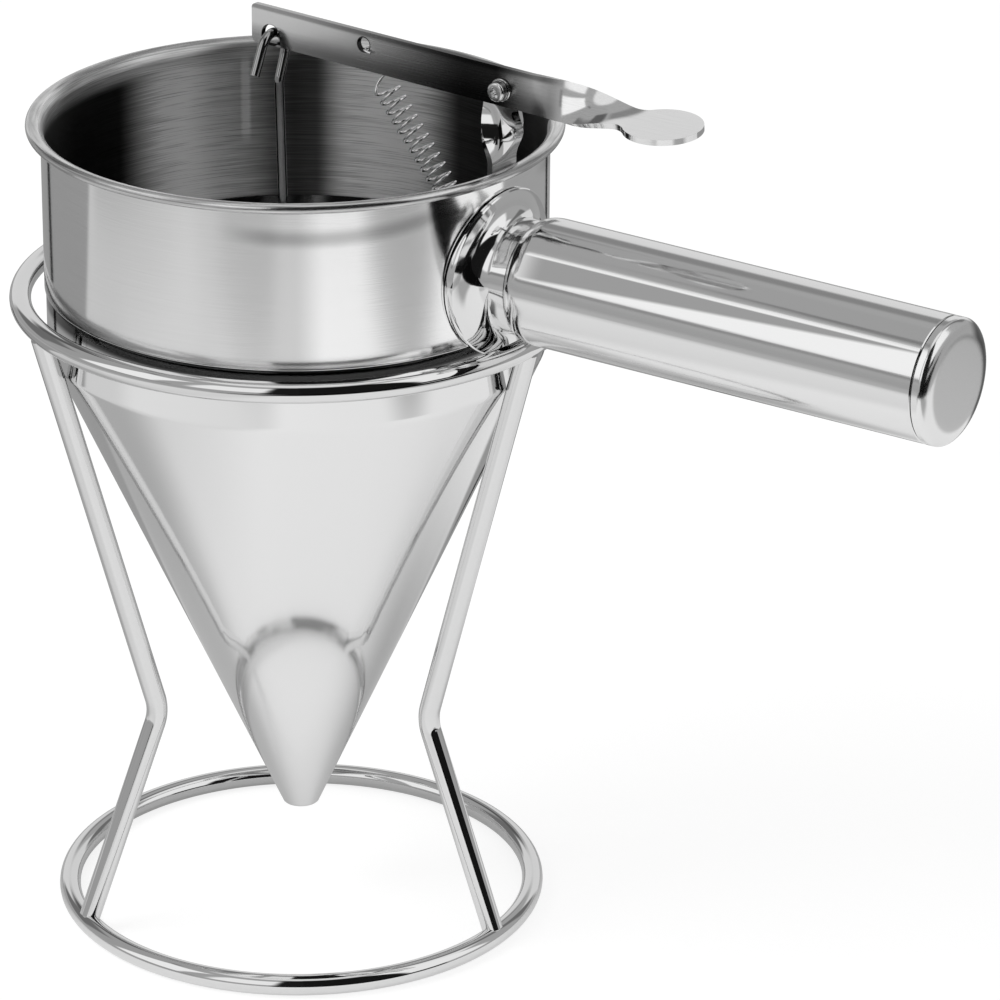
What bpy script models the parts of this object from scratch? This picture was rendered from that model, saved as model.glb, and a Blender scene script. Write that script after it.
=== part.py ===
"""A batter dispenser: a steel funnel with a thumb lever, a sprung valve rod and a wire stand.

Metres, +Z up. The handle points along +X and the lever's face looks along -Y. The origin lies on the
table under the middle of the whole object. Heights are measured from the table, and distances along
the handle from the funnel's axis.
"""

import math

import bmesh
import bpy
from mathutils import Matrix, Vector

# Counts
round_steps = 64
tube_steps = 36
small_steps = 24
wire_sides = 12

# Clearances
clearance = 0.0003
pivot_play = 0.0002
hole_slack = 0.0002
overrun = 0.0040
weld_distance = 0.0000005

# Bowl band
bowl_radius = 0.0650
sheet = 0.0008
band_height = 0.0449
lip_reach = 0.0040
lip_height = 0.0026
lip_round = 0.0006
lip_fall = 0.0004

# Neck, cone and nozzle
neck_step = 0.0004
neck_height = 0.0162
cone_height = 0.1332
knee_round = 0.0040
nozzle_height = 0.0257
nozzle_radius = 0.0047

# Stand
stand_wire_radius = 0.0028
top_ring_drop = 0.0031
top_ring_outset = 0.0003
base_ring_radius = 0.0626
waist_radius = 0.0409
waist_height = 0.0606
waist_bend = 0.0120
foot_inset = 0.0006
foot_rise = 0.0011
leg_turn_degrees = 1.5
leg_count = 3

# Handle, its lengths measured from the band
handle_rise = 0.0165
handle_root_radius = 0.0163
handle_end_radius = 0.0158
handle_wall = 0.0010
handle_neck_radius = 0.0145
handle_neck_start = 0.0050
handle_neck_length = 0.0045
handle_shoulder = 0.0050
handle_length = 0.1171
flange_radius = 0.0214
flange_edge = 0.0012

# Handle cap
cap_length = 0.0040
cap_straight = 0.0016
cap_face_radius = 0.0105
cap_spigot_length = 0.0060
cap_spigot_chamfer = 0.0008

# Lever, its pivot measured from the band and the rest from the pivot
pivot_inset = 0.0003
pivot_rise = 0.0196
lever_thickness = 0.0015
lever_tail = 0.0126
lever_rise = 0.0081
lever_fall = 0.0026
lever_width = 0.0101
lever_corner = 0.0012
twist_start = 0.0085
twist_length = 0.0310
twist_drop = 0.0011
twist_degrees = 86.0
disc_distance = 0.0470
disc_radius = 0.0100
disc_fillet = 0.0060

# Hook slot in the lever
slot_width = 0.0056
slot_web = 0.0006
slot_side = 0.0019
slot_shift = 0.0006
hook_slack = 0.0007

# Pivot screw, washers and nut
screw_radius = 0.0018
screw_head_radius = 0.0025
screw_head_height = 0.0022
screw_head_round = 0.0005
screw_socket_radius = 0.0015
screw_lobe_depth = 0.0005
screw_socket_depth = 0.0010
screw_tail = 0.0006
washer_radius = 0.0029
washer_thickness = 0.0005
bush_radius = 0.0030
bush_thickness = 0.0006
nut_across_flats = 0.0060
nut_height = 0.0024

# Bracket
bracket_width = 0.0104
bracket_thickness = 0.0015
bracket_twist_drop = 0.0002
bracket_ear_drop = 0.0044
bracket_foot_drop = 0.0250
bracket_foot_bend = 0.0022
bracket_foot_reach = 0.0070
bracket_eye_radius = 0.0011

# Valve rod and its hook
rod_radius = 0.00125
rod_straight = 0.0060
rod_bend = 0.0050
hook_offset = 0.0060
hook_radius = 0.0051
hook_forward = 0.0013
hook_rear_degrees = 21.0
hook_front_degrees = 25.5
hook_rear_length = 0.0068
hook_front_length = 0.0074

# Valve plug
plug_radius = 0.0060
plug_hub_radius = 0.0030
plug_hub_height = 0.0090
plug_hub_fillet = 0.0008
plug_bore_depth = 0.0046
plug_edge = 0.0004

# Return spring
spring_wire_radius = 0.000375
spring_coil_radius = 0.0030
spring_pitch = 0.00278
spring_curls = 14.5
spring_end_curls = 0.8
curl_points = 10
spring_from_pivot = 0.0366
spring_below_pivot = 0.0072
spring_slope_degrees = 50.9
spring_back = 0.0005
spring_hole_radius = 0.00185
spring_hole_distance = 0.0421
spring_hole_rise = 0.0036
spring_start_degrees = 125.0

# Shares chosen by hand, how far along the round corner at the lever's end the first sections lie
corner_shares = (0.00, 0.12, 0.45)
# Shares chosen by hand, how far across from the flange's edge to the neck and how far up the fillet
flange_shares = (
    (0.00, 0.00),
    (0.28, 0.03),
    (0.52, 0.12),
    (0.72, 0.27),
    (0.87, 0.48),
    (0.96, 0.73),
    (1.00, 1.00),
)
# The spring's tail from its first curl to its tip, in hole radii across and up and thicknesses back
tail_shares = (
    (2.11, -5.30, -0.60),
    (2.50, -4.22, 0.32),
    (2.86, -3.46, 0.67),
    (3.08, -2.32, 0.80),
    (2.65, -1.03, 0.90),
    (1.57, -0.27, 0.85),
    (0.65, -0.32, 0.62),
    (0.30, -0.51, 0.23),
    (0.27, -0.54, -0.50),
    (0.30, -0.58, -1.20),
    (0.65, -0.70, -1.50),
    (1.46, -0.86, -1.53),
)
# The spring's lower hook from above the eye to its tip, in eye radii across and thicknesses up
hook_shares = (
    (-1.30, 2.10),
    (-0.30, 1.20),
    (0.00, 0.60),
    (0.00, -0.60),
    (-0.15, -1.10),
    (-0.90, -1.75),
    (-2.00, -1.80),
)

# Finishes as grey shade and roughness
brushed = (0.62, 0.32)
polished = (0.78, 0.10)
drawn_wire = (0.70, 0.16)

# Heights and distances that follow from the sizes
knee_height = nozzle_height + cone_height
shoulder_height = knee_height + neck_height
rim_height = shoulder_height + band_height
top_ring_height = shoulder_height - top_ring_drop
handle_height = shoulder_height + handle_rise
pivot_height = rim_height + pivot_rise
pivot_distance = bowl_radius - pivot_inset
lever_reach = pivot_distance + lever_tail
handle_root = bowl_radius + handle_neck_start + handle_neck_length
handle_joint = handle_root + handle_length
handle_end = handle_joint + clearance + cap_length
inner_radius = bowl_radius - sheet
neck_radius = bowl_radius - neck_step
cone_slope = (neck_radius - nozzle_radius) / (knee_height - nozzle_height)
cone_tilt = math.atan(cone_slope)
inner_apex = nozzle_height - nozzle_radius / cone_slope + sheet / math.sin(cone_tilt)
ear_front = bush_thickness + 2 * pivot_play
ear_middle = ear_front + bracket_thickness / 2
hook_distance = pivot_distance + hook_offset
slot_arch = slot_width / 2
slot_floor = lever_rise - lever_width + slot_web
slot_spring = slot_floor + slot_side
hook_height = pivot_height + slot_spring + slot_arch - hook_slack - rod_radius - hook_radius
bracket_foot_height = rim_height - bracket_foot_drop
plug_height = inner_apex + (plug_radius + clearance) / math.sin(cone_tilt)
rod_foot = plug_height + plug_hub_height - plug_bore_depth + clearance
leg_rise = knee_height - waist_height
leg_lean = math.atan((neck_radius + clearance + stand_wire_radius - waist_radius) / leg_rise)
leg_knee_radius = neck_radius + clearance + stand_wire_radius / math.cos(leg_lean)
leg_slope = (leg_knee_radius - waist_radius) / leg_rise
leg_top = top_ring_height - stand_wire_radius / 2
leg_top_radius = leg_knee_radius + leg_slope * (leg_top - knee_height)
top_ring_radius = leg_top_radius + top_ring_outset
funnel_x = (top_ring_radius + stand_wire_radius - handle_end) / 2


# Tools for building


def add_object(name, data, finish=None):
    """Put new data in the scene with a metal of its own."""
    made = bpy.data.objects.new(name, data)
    bpy.context.scene.collection.objects.link(made)
    if finish:
        shade, roughness = finish
        metal = bpy.data.materials.new(name + "_metal")
        metal.use_nodes = True
        principled = metal.node_tree.nodes["Principled BSDF"]
        principled.inputs["Base Color"].default_value = (shade, shade, shade, 1.0)
        principled.inputs["Metallic"].default_value = 1.0
        principled.inputs["Roughness"].default_value = roughness
        data.materials.append(metal)
    return made


def place(thing, parent, location=(0.0, 0.0, 0.0)):
    thing.parent = parent
    thing.location = location
    return thing


def add_mesh(name, bm, finish=None):
    """Weld the mesh, face it outwards and shade it smooth except at its edges."""
    bmesh.ops.remove_doubles(bm, verts=bm.verts, dist=weld_distance)
    bmesh.ops.recalc_face_normals(bm, faces=bm.faces)
    mesh = bpy.data.meshes.new(name)
    bm.to_mesh(mesh)
    bm.free()
    mesh.shade_smooth()
    mesh.set_sharp_from_angle(angle=math.radians(35))
    return add_object(name, mesh, finish)


def turned(name, profile, finish=None, steps=round_steps, axis="Z"):
    """A profile of (radius, height) points turned once round, its height then laid along the axis."""
    bm = bmesh.new()
    verts = [bm.verts.new((radius, 0.0, height)) for radius, height in profile]
    edges = [bm.edges.new(pair) for pair in zip(verts, verts[1:])]
    if profile[0][0] > 0:
        edges.append(bm.edges.new((verts[-1], verts[0])))
    bmesh.ops.spin(
        bm,
        geom=verts + edges,
        cent=(0.0, 0.0, 0.0),
        axis=(0.0, 0.0, 1.0),
        angle=math.tau,
        steps=steps,
        use_merge=True,
    )
    turns = {
        "X": Matrix.Rotation(math.radians(90), 4, "Y"),
        "Y": Matrix.Rotation(math.radians(-90), 4, "X"),
        "Z": Matrix.Identity(4),
    }
    bmesh.ops.transform(bm, matrix=turns[axis], verts=bm.verts)
    return add_mesh(name, bm, finish)


def lofted(name, loops, finish=None, closed=False):
    """Loops of as many points each, skinned one to the next and closed by flat ends or in a round."""
    bm = bmesh.new()
    rings = [[bm.verts.new(point) for point in loop] for loop in loops]
    following = rings[1:] + rings[:1] if closed else rings[1:]
    for ring, after in zip(rings, following):
        for i, vert in enumerate(ring):
            j = (i + 1) % len(ring)
            bm.faces.new((vert, ring[j], after[j], after[i]))
    if not closed:
        bm.faces.new(rings[0])
        bm.faces.new(rings[-1])
    return add_mesh(name, bm, finish)


def wire(name, points, radius, sides, finish=None):
    """A round wire with flat ends along the points."""
    curve = bpy.data.curves.new(name, "CURVE")
    curve.dimensions = "3D"
    curve.bevel_depth = radius
    curve.bevel_resolution = sides // 2 - 2
    curve.use_fill_caps = True
    spline = curve.splines.new("POLY")
    spline.points.add(len(points) - 1)
    for slot, point in zip(spline.points, points):
        slot.co = (*point, 1.0)
    spline.use_smooth = True
    return add_object(name, curve, finish)


def cut(target, cutter, parent, location=(0.0, 0.0, 0.0)):
    """Cut the cutter out of the target and hide the cutter."""
    place(cutter, parent, location)
    cutter.hide_render = True
    cutter.display_type = "WIRE"
    boolean = target.modifiers.new(cutter.name, "BOOLEAN")
    boolean.operation = "DIFFERENCE"
    boolean.object = cutter


def drill(name, radius, axis):
    """A round cutter along the axis, longer both ways than what it goes through."""
    profile = [(0.0, -overrun), (radius, -overrun), (radius, overrun), (0.0, overrun)]
    return turned(name, profile, steps=small_steps, axis=axis)


def punch(name, outline, depth=overrun):
    """A cutter with an outline of (x, z) points, pushed through along Y."""
    return lofted(name, [[(x, y, z) for x, z in outline] for y in (-depth, depth)])


def circle(radius, steps, middle=(0.0, 0.0), start=0.0):
    turns = [start + math.tau * i / steps for i in range(steps)]
    return [(middle[0] + radius * math.cos(t), middle[1] + radius * math.sin(t)) for t in turns]


def quarter(middle, across, up, steps):
    """A quarter of an ellipse in a profile, from its side at the middle's height to its top."""
    turns = [math.pi / 2 * i / steps for i in range(steps + 1)]
    return [(middle[0] + across * math.cos(t), middle[1] + up * math.sin(t)) for t in turns]


def rounded_corner(before, corner, after, radius, steps):
    """The corner of a path, replaced by an arc of the radius."""
    back = (before - corner).normalized()
    ahead = (after - corner).normalized()
    half = back.angle(ahead) / 2
    centre = corner + (back + ahead).normalized() * radius / math.sin(half)
    run = radius / math.tan(half)
    first = corner + back * run - centre
    last = corner + ahead * run - centre
    normal = first.cross(last).normalized()
    sweep = math.pi - 2 * half
    turns = [Matrix.Rotation(sweep * i / steps, 3, normal) for i in range(steps + 1)]
    return [centre + turn @ first for turn in turns]


def curve_through(points, steps):
    """A smooth curve through the inner points; the first and last only set its direction."""
    made = []
    for a, b, c, d in zip(points, points[1:], points[2:], points[3:]):
        for i in range(steps):
            t = i / steps
            made.append(
                b
                + (c - a) * (t / 2)
                + (2 * a - 5 * b + 4 * c - d) * (t**2 / 2)
                + (3 * b - a - 3 * c + d) * (t**3 / 2)
            )
    made.append(points[-2])
    return made


def eased(value, start, length):
    """0 before the start, 1 past the length, and smooth between."""
    t = min(1.0, max(0.0, (value - start) / length))
    return t * t * (3 - 2 * t)


def strip_loop(middle, width_way, thick_way, half_width, half_thick):
    """The four corners of a flat strip's section."""
    signs = ((1, 1), (-1, 1), (-1, -1), (1, -1))
    return [middle + width_way * (a * half_width) + thick_way * (b * half_thick) for a, b in signs]


# Funnel


def make_bowl_wall():
    """The band with its rim rolled outwards; the lip's top falls a little to the outside."""
    lip_radius = bowl_radius + lip_reach
    lip_bottom = rim_height - lip_height
    lip_top = rim_height - lip_fall
    profile = [
        (bowl_radius, shoulder_height),
        (bowl_radius, lip_bottom - lip_round),
        (bowl_radius + lip_round, lip_bottom),
        (lip_radius - lip_round, lip_bottom),
        (lip_radius, lip_bottom + lip_round),
        (lip_radius, lip_top - lip_round),
        (lip_radius - lip_round, lip_top),
        (bowl_radius, rim_height),
        (inner_radius, rim_height - lip_round),
        (inner_radius, shoulder_height),
    ]
    return turned("bowl_wall", profile, brushed)


def make_funnel_cone():
    """Neck, rounded knee and straight cone in one sheet, open at the nozzle."""
    neck_top = shoulder_height - clearance
    middle_height = knee_height + knee_round * math.tan(cone_tilt / 2)
    knee_middle = Vector((neck_radius - knee_round, middle_height))
    outer, inner = [], []
    for i in range(5):
        turn = cone_tilt * (i / 4 - 1)
        way = Vector((math.cos(turn), math.sin(turn)))
        outer.append(tuple(knee_middle + way * knee_round))
        inner.append(tuple(knee_middle + way * (knee_round - sheet)))
    bore = (nozzle_height - inner_apex) * cone_slope
    profile = [(nozzle_radius, nozzle_height)]
    profile += outer
    profile += [(neck_radius, neck_top), (neck_radius - sheet, neck_top)]
    profile += inner[::-1]
    profile += [(bore, nozzle_height)]
    return turned("funnel_cone", profile, polished)


def make_valve_plug():
    """A ball that seats in the cone, with a hub that holds the rod."""
    bore = rod_radius + clearance
    hub_top = plug_height + plug_hub_height
    neck_turn = math.acos((plug_hub_radius + plug_hub_fillet) / plug_radius)
    profile = [(0.0, plug_height - plug_radius)]
    for i in range(1, 11):
        turn = -math.pi / 2 + (math.pi / 2 + neck_turn) * i / 10
        profile.append((plug_radius * math.cos(turn), plug_height + plug_radius * math.sin(turn)))
    profile.append((plug_hub_radius, profile[-1][1] + plug_hub_fillet))
    profile.append((plug_hub_radius, hub_top - plug_edge))
    profile.append((plug_hub_radius - plug_edge, hub_top))
    profile.append((bore, hub_top))
    profile.append((bore, hub_top - plug_bore_depth))
    profile.append((0.0, hub_top - plug_bore_depth))
    return turned("valve_plug", profile, polished, steps=small_steps)


# Handle


def make_handle_flange():
    """A plate that follows the band, drawn up in a hollow curve into the handle's neck."""
    wall = bowl_radius + clearance
    bore = handle_neck_radius - handle_wall

    start = bowl_radius + handle_neck_start

    def saddle(radius, lift, up):
        loop = []
        for y, z in circle(radius, tube_steps):
            near = math.sqrt(wall**2 - y**2) + lift
            loop.append((near + (start - near) * up, y, z))
        return loop

    loops = [saddle(bore, 0.0, 0.0), saddle(flange_radius, 0.0, 0.0)]
    for across, up in flange_shares:
        radius = flange_radius + (handle_neck_radius - flange_radius) * across
        loops.append(saddle(radius, flange_edge, up))
    for radius in (handle_neck_radius, bore):
        loops.append([(handle_root, y, z) for y, z in circle(radius, tube_steps)])
    return lofted("handle_flange", loops, polished, closed=True)


def make_handle_tube():
    """A slightly tapered tube; its root is drawn in to the neck over a round shoulder."""
    root = handle_root + clearance
    shoulder = handle_root + handle_shoulder
    rise = handle_root_radius - handle_neck_radius
    bore = handle_neck_radius - handle_wall
    arc = quarter((handle_neck_radius, shoulder), rise, root - shoulder, 4)
    profile = [(bore, root)]
    profile += arc[::-1]
    profile += [
        (handle_end_radius, handle_joint),
        (handle_end_radius - handle_wall, handle_joint),
        (handle_root_radius - handle_wall, shoulder),
        (bore, root + handle_wall),
    ]
    return turned("handle_tube", profile, polished, steps=tube_steps, axis="X")


def make_handle_cap():
    """A pressed cap: a spigot in the tube, a short straight side, a soft corner and a flat face."""
    back = handle_joint + clearance
    front = handle_joint - cap_spigot_length
    spigot = handle_end_radius - handle_wall - clearance
    profile = [
        (0.0, front),
        (spigot - cap_spigot_chamfer, front),
        (spigot, front + cap_spigot_chamfer),
        (spigot, back),
        (handle_end_radius, back),
    ]
    corner = (cap_face_radius, back + cap_straight)
    profile += quarter(corner, handle_end_radius - cap_face_radius, cap_length - cap_straight, 5)
    profile.append((0.0, handle_end))
    return turned("handle_end_cap", profile, brushed, steps=tube_steps, axis="X")


# Bracket


def bracket_foot_x():
    """How far out the foot lies so that its edges clear the round band."""
    edge = ear_middle + bracket_width / 2
    return math.sqrt(inner_radius**2 - edge**2) - clearance - bracket_thickness / 2


def spring_eye():
    """The middle of the eye for the spring in the bracket's bent foot."""
    x = bracket_foot_x() - bracket_foot_reach + bracket_width / 4
    return Vector((x, spring_back, bracket_foot_height))


def make_lever_bracket(parent):
    """A strip on the inside of the band, bent in at its foot and turned a quarter up to the ear."""
    half_width = bracket_width / 2
    half_thick = bracket_thickness / 2
    foot_x = bracket_foot_x()
    across = Vector((0.0, 1.0, 0.0))
    twist_bottom = rim_height - bracket_twist_drop
    twist_top = pivot_height - bracket_ear_drop
    corner = Vector((foot_x, ear_middle, bracket_foot_height))
    inward = Vector((-bracket_foot_reach, 0.0, 0.0))
    upward = Vector((0.0, 0.0, bracket_foot_reach))
    bend = rounded_corner(corner + inward, corner, corner + upward, bracket_foot_bend, 5)
    loops = [strip_loop(corner + inward, across, Vector((0.0, 0.0, 1.0)), half_width, half_thick)]
    for i, point in enumerate(bend):
        turn = math.pi / 2 * i / 5
        face = Vector((-math.sin(turn), 0.0, math.cos(turn)))
        loops.append(strip_loop(point, across, face, half_width, half_thick))
    for i in range(17):
        share = i / 16
        turn = math.pi / 2 * eased(share, 0.0, 1.0)
        height = twist_bottom + (twist_top - twist_bottom) * share
        middle = Vector((foot_x, ear_middle, height))
        width_way = Vector((math.sin(turn), math.cos(turn), 0.0))
        face = Vector((-math.cos(turn), math.sin(turn), 0.0))
        loops.append(strip_loop(middle, width_way, face, half_width, half_thick))
    for i in range(9):
        turn = math.radians(84) * i / 8
        middle = Vector((foot_x, ear_middle, pivot_height + half_width * math.sin(turn)))
        width_way = Vector((1.0, 0.0, 0.0))
        loops.append(strip_loop(middle, width_way, across, half_width * math.cos(turn), half_thick))
    bracket = place(lofted("lever_bracket", loops, polished), parent)
    ear_hole = drill("cut_ear", screw_radius + hole_slack, "Y")
    cut(bracket, ear_hole, parent, (pivot_distance, ear_middle, pivot_height))
    cut(bracket, drill("cut_spring_eye", bracket_eye_radius, "Z"), parent, spring_eye())
    return bracket


# Lever


def lever_edges(x):
    """The lever's upper and lower edge at x, both measured from the pivot."""
    into = x + lever_reach
    top = lever_rise - lever_fall * into / (lever_reach + twist_start)
    bottom = top - lever_width
    if into < lever_corner:
        drop = lever_corner - math.sqrt(lever_corner**2 - (lever_corner - into) ** 2)
        top -= drop
        bottom += drop
    return top, bottom


def disc_fillet_ends():
    """Where the hollow fillet leaves the neck's straight side and where it meets the disc."""
    reach = disc_radius + disc_fillet
    run = math.sqrt(reach**2 - (lever_width / 2 + disc_fillet) ** 2)
    return disc_distance - run, disc_distance - run * disc_radius / reach


def thumb_half_width(x):
    """Half the width of the neck, the fillet or the thumb disc at x."""
    leave, meet = disc_fillet_ends()
    half = lever_width / 2
    if x < leave:
        return half
    if x < meet:
        return half + disc_fillet - math.sqrt(disc_fillet**2 - (x - leave) ** 2)
    return math.sqrt(disc_radius**2 - (x - disc_distance) ** 2)


def lever_stations():
    """Places along the lever, close together at its corner, twist and disc."""
    stops = [-lever_reach + lever_corner * share for share in corner_shares]
    start = -lever_reach + lever_corner
    stops += [start + (twist_start - start) * i / 16 for i in range(16)]
    leave, meet = disc_fillet_ends()
    stops += [twist_start + (leave - twist_start) * i / 13 for i in range(13)]
    stops += [leave + (meet - leave) * i / 4 for i in range(4)]
    first = math.acos((disc_distance - meet) / disc_radius)
    last = math.radians(178)
    for i in range(17):
        stops.append(disc_distance - disc_radius * math.cos(first + (last - first) * i / 16))
    return stops


def make_lever(parent):
    """A flat strip on edge, turned a quarter about its length and drawn out into a level thumb disc."""
    half_thick = lever_thickness / 2
    loops = []
    for x in lever_stations():
        top, bottom = lever_edges(min(x, twist_start))
        half = (top - bottom) / 2 if x < twist_start else thumb_half_width(x)
        share = eased(x, twist_start, twist_length)
        turn = math.radians(twist_degrees) * share
        centre = Vector((x, -half_thick, (top + bottom) / 2 - twist_drop * share))
        width_way = Vector((0.0, math.sin(turn), math.cos(turn)))
        face = Vector((0.0, -math.cos(turn), math.sin(turn)))
        loops.append(strip_loop(centre, width_way, face, half, half_thick))
    lever = place(lofted("lever", loops, brushed), parent, (pivot_distance, 0.0, pivot_height))
    cut(lever, drill("cut_pivot", screw_radius + hole_slack, "Y"), lever)
    spring_hole = drill("cut_spring_hole", spring_hole_radius, "Y")
    cut(lever, spring_hole, lever, (-spring_hole_distance, 0.0, spring_hole_rise))
    arch = [(-slot_arch, slot_floor), (slot_arch, slot_floor)]
    for i in range(13):
        turn = math.pi * i / 12
        arch.append((slot_arch * math.cos(turn), slot_spring + slot_arch * math.sin(turn)))
    cut(lever, punch("cut_hook_slot", arch), lever, (-hook_distance - slot_shift, 0.0, 0.0))
    return lever


# Pivot


def make_washer(name, radius, thickness, front, parent):
    bore = screw_radius + hole_slack
    profile = [(bore, 0.0), (radius, 0.0), (radius, thickness), (bore, thickness)]
    washer = turned(name, profile, polished, steps=small_steps, axis="Y")
    return place(washer, parent, (pivot_distance, front, pivot_height))


def make_pivot(parent):
    """Screw head, washer, lever, bush, ear, washer and nut, in this order from the front."""
    washer_front = -lever_thickness - pivot_play - washer_thickness
    head_front = washer_front - pivot_play - screw_head_height
    washer_rear = ear_front + bracket_thickness + pivot_play
    nut_front = washer_rear + washer_thickness + pivot_play
    shank = nut_front + nut_height + screw_tail - head_front
    profile = [
        (0.0, 0.0),
        (screw_head_radius - screw_head_round, 0.0),
        (screw_head_radius - screw_head_round / 3, screw_head_round / 3),
        (screw_head_radius, screw_head_round),
        (screw_head_radius, screw_head_height),
        (screw_radius, screw_head_height),
        (screw_radius, shank),
        (0.0, shank),
    ]
    screw = turned("pivot_screw", profile, polished, steps=small_steps, axis="Y")
    place(screw, parent, (pivot_distance, head_front, pivot_height))
    lobes = []
    for i in range(small_steps):
        turn = math.tau * i / small_steps
        radius = screw_socket_radius - screw_lobe_depth * (1 - math.cos(6 * turn)) / 2
        lobes.append((radius * math.cos(turn), radius * math.sin(turn)))
    cut(screw, punch("cut_socket", lobes, screw_socket_depth), screw)
    make_washer("pivot_washer_front", washer_radius, washer_thickness, washer_front, parent)
    make_washer("pivot_bush", bush_radius, bush_thickness, pivot_play, parent)
    make_washer("pivot_washer_rear", washer_radius, washer_thickness, washer_rear, parent)
    corners = circle(nut_across_flats / 2 / math.cos(math.pi / 6), 6)
    loops = [[(x, y, z) for x, z in corners] for y in (0.0, nut_height)]
    nut = place(lofted("pivot_nut", loops, polished), parent, (pivot_distance, nut_front, pivot_height))
    cut(nut, drill("cut_nut", screw_radius + hole_slack, "Y"), nut)


# Valve rod


def make_valve_rod():
    """Up from the plug, leaning to the lever's end, then over through the slot and down in front."""
    rear = math.radians(hook_rear_degrees)
    front = math.radians(hook_front_degrees)
    centre = Vector((-hook_offset, -hook_forward, hook_height))
    hook = []
    for i in range(17):
        turn = -rear + (math.pi - front + rear) * i / 16
        hook.append(centre + Vector((0.0, math.cos(turn), math.sin(turn))) * hook_radius)
    lower = hook[0] - Vector((0.0, math.sin(rear), math.cos(rear))) * hook_rear_length
    tip = hook[-1] - Vector((0.0, math.sin(front), math.cos(front))) * hook_front_length
    foot = Vector((0.0, 0.0, rod_foot))
    straight = Vector((0.0, 0.0, rod_foot + rod_straight))
    path = [foot]
    path += rounded_corner(foot, straight, lower, rod_bend, 1)
    path += rounded_corner(straight, lower, hook[0], rod_bend, 3)
    path += hook + [tip]
    return wire("valve_rod", path, rod_radius, wire_sides, drawn_wire)


# Return spring


def spring_path():
    """Tail through the lever's hole, open curls down the slope, and a hook in the bracket's eye."""
    slope = math.radians(spring_slope_degrees)
    along = Vector((math.cos(slope), 0.0, -math.sin(slope)))
    across = Vector((math.sin(slope), 0.0, math.cos(slope)))
    forward = Vector((0.0, -1.0, 0.0))
    first = Vector((pivot_distance - spring_from_pivot, spring_back, pivot_height - spring_below_pivot))
    hole = Vector((pivot_distance - spring_hole_distance, 0.0, pivot_height + spring_hole_rise))

    def curl(count):
        turn = math.radians(spring_start_degrees) + math.tau * count
        inward = 1 - eased(count, spring_curls - spring_end_curls, spring_end_curls)
        ring = (across * math.cos(turn) + forward * math.sin(turn)) * spring_coil_radius * inward
        return first + along * spring_pitch * count + ring

    steps = round(spring_curls * curl_points)
    curls = [curl(i / curl_points) for i in range(steps + 1)]
    tail = []
    for right, up, back in tail_shares:
        offset = Vector((right * spring_hole_radius, back * lever_thickness, up * spring_hole_radius))
        tail.append(hole + offset)
    tail = tail[::-1]
    tail = curve_through([2 * tail[0] - tail[1]] + tail + [curls[0], curls[1]], 3)
    eye = spring_eye()
    hook = [eye + Vector((x * bracket_eye_radius, 0.0, z * bracket_thickness)) for x, z in hook_shares]
    hook = curve_through([curls[-2], curls[-1]] + hook + [2 * hook[-1] - hook[-2]], 3)
    return tail + curls[1:-1] + hook


def least_self_gap(points, radius):
    """The least gap between parts of a wire that lie more than half a curl apart along it."""
    near = math.pi * spring_coil_radius
    run = [0.0]
    for a, b in zip(points, points[1:]):
        run.append(run[-1] + (b - a).length)
    gaps = [
        (points[i] - points[j]).length
        for i in range(len(points))
        for j in range(i)
        if run[i] - run[j] > near
    ]
    return min(gaps) - 2 * radius


def make_return_spring():
    points = spring_path()
    print("return_spring: least gap to itself", round(least_self_gap(points, spring_wire_radius), 6))
    return wire("return_spring", points, spring_wire_radius, 6, drawn_wire)


# Stand


def make_ring(name, radius, height):
    """A ring of round wire with a narrow flat below, where it can rest."""
    section = stand_wire_radius / math.cos(math.pi / wire_sides)
    profile = circle(section, wire_sides, (radius, height), math.pi / wire_sides)
    return turned(name, profile, drawn_wire)


def make_leg(name, turn, rings, parent):
    """A wire bent at its waist; it leans on the cone's knee and meets both rings in a saddle."""
    outward = Vector((math.cos(turn), math.sin(turn), 0.0))
    upward = Vector((0.0, 0.0, 1.0))
    low = outward * (base_ring_radius - foot_inset) + upward * (stand_wire_radius + foot_rise)
    waist = outward * waist_radius + upward * waist_height
    high = outward * leg_top_radius + upward * leg_top
    path = [low] + rounded_corner(low, waist, high, waist_bend, 6) + [high]
    guide = wire(name + "_guide", path, stand_wire_radius, wire_sides)
    bpy.context.view_layer.update()
    made = guide.evaluated_get(bpy.context.evaluated_depsgraph_get())
    mesh = bpy.data.meshes.new_from_object(made)
    bpy.data.objects.remove(guide, do_unlink=True)
    bm = bmesh.new()
    bm.from_mesh(mesh)
    leg = place(add_mesh(name, bm, drawn_wire), parent)
    for ring_radius, height in rings:
        profile = circle(stand_wire_radius + clearance, small_steps, (ring_radius, height))
        cut(leg, turned(f"cut_{name}_{height}", profile), parent)
    return leg


def make_stand(parent):
    rings = ((top_ring_radius, top_ring_height), (base_ring_radius, stand_wire_radius))
    place(make_ring("stand_top_ring", *rings[0]), parent)
    place(make_ring("stand_base_ring", *rings[1]), parent)
    for i in range(leg_count):
        turn = math.radians(leg_turn_degrees) + math.tau * i / leg_count
        make_leg(f"stand_leg_{i + 1}", turn, rings, parent)


# The whole object


def build():
    for item in list(bpy.data.objects):
        bpy.data.objects.remove(item, do_unlink=True)
    origin = add_object("dispenser", None)
    stand = place(add_object("stand", None), origin, (funnel_x, 0.0, 0.0))
    funnel = place(add_object("funnel", None), origin, (funnel_x, 0.0, 0.0))
    valve = place(add_object("valve", None), funnel)
    make_stand(stand)
    place(make_bowl_wall(), funnel)
    place(make_funnel_cone(), funnel)
    for make in (make_handle_flange, make_handle_tube, make_handle_cap):
        place(make(), funnel, (0.0, 0.0, handle_height))
    make_lever_bracket(funnel)
    make_lever(funnel)
    make_pivot(funnel)
    place(make_return_spring(), funnel)
    place(make_valve_rod(), valve)
    place(make_valve_plug(), valve)


build()
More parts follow.
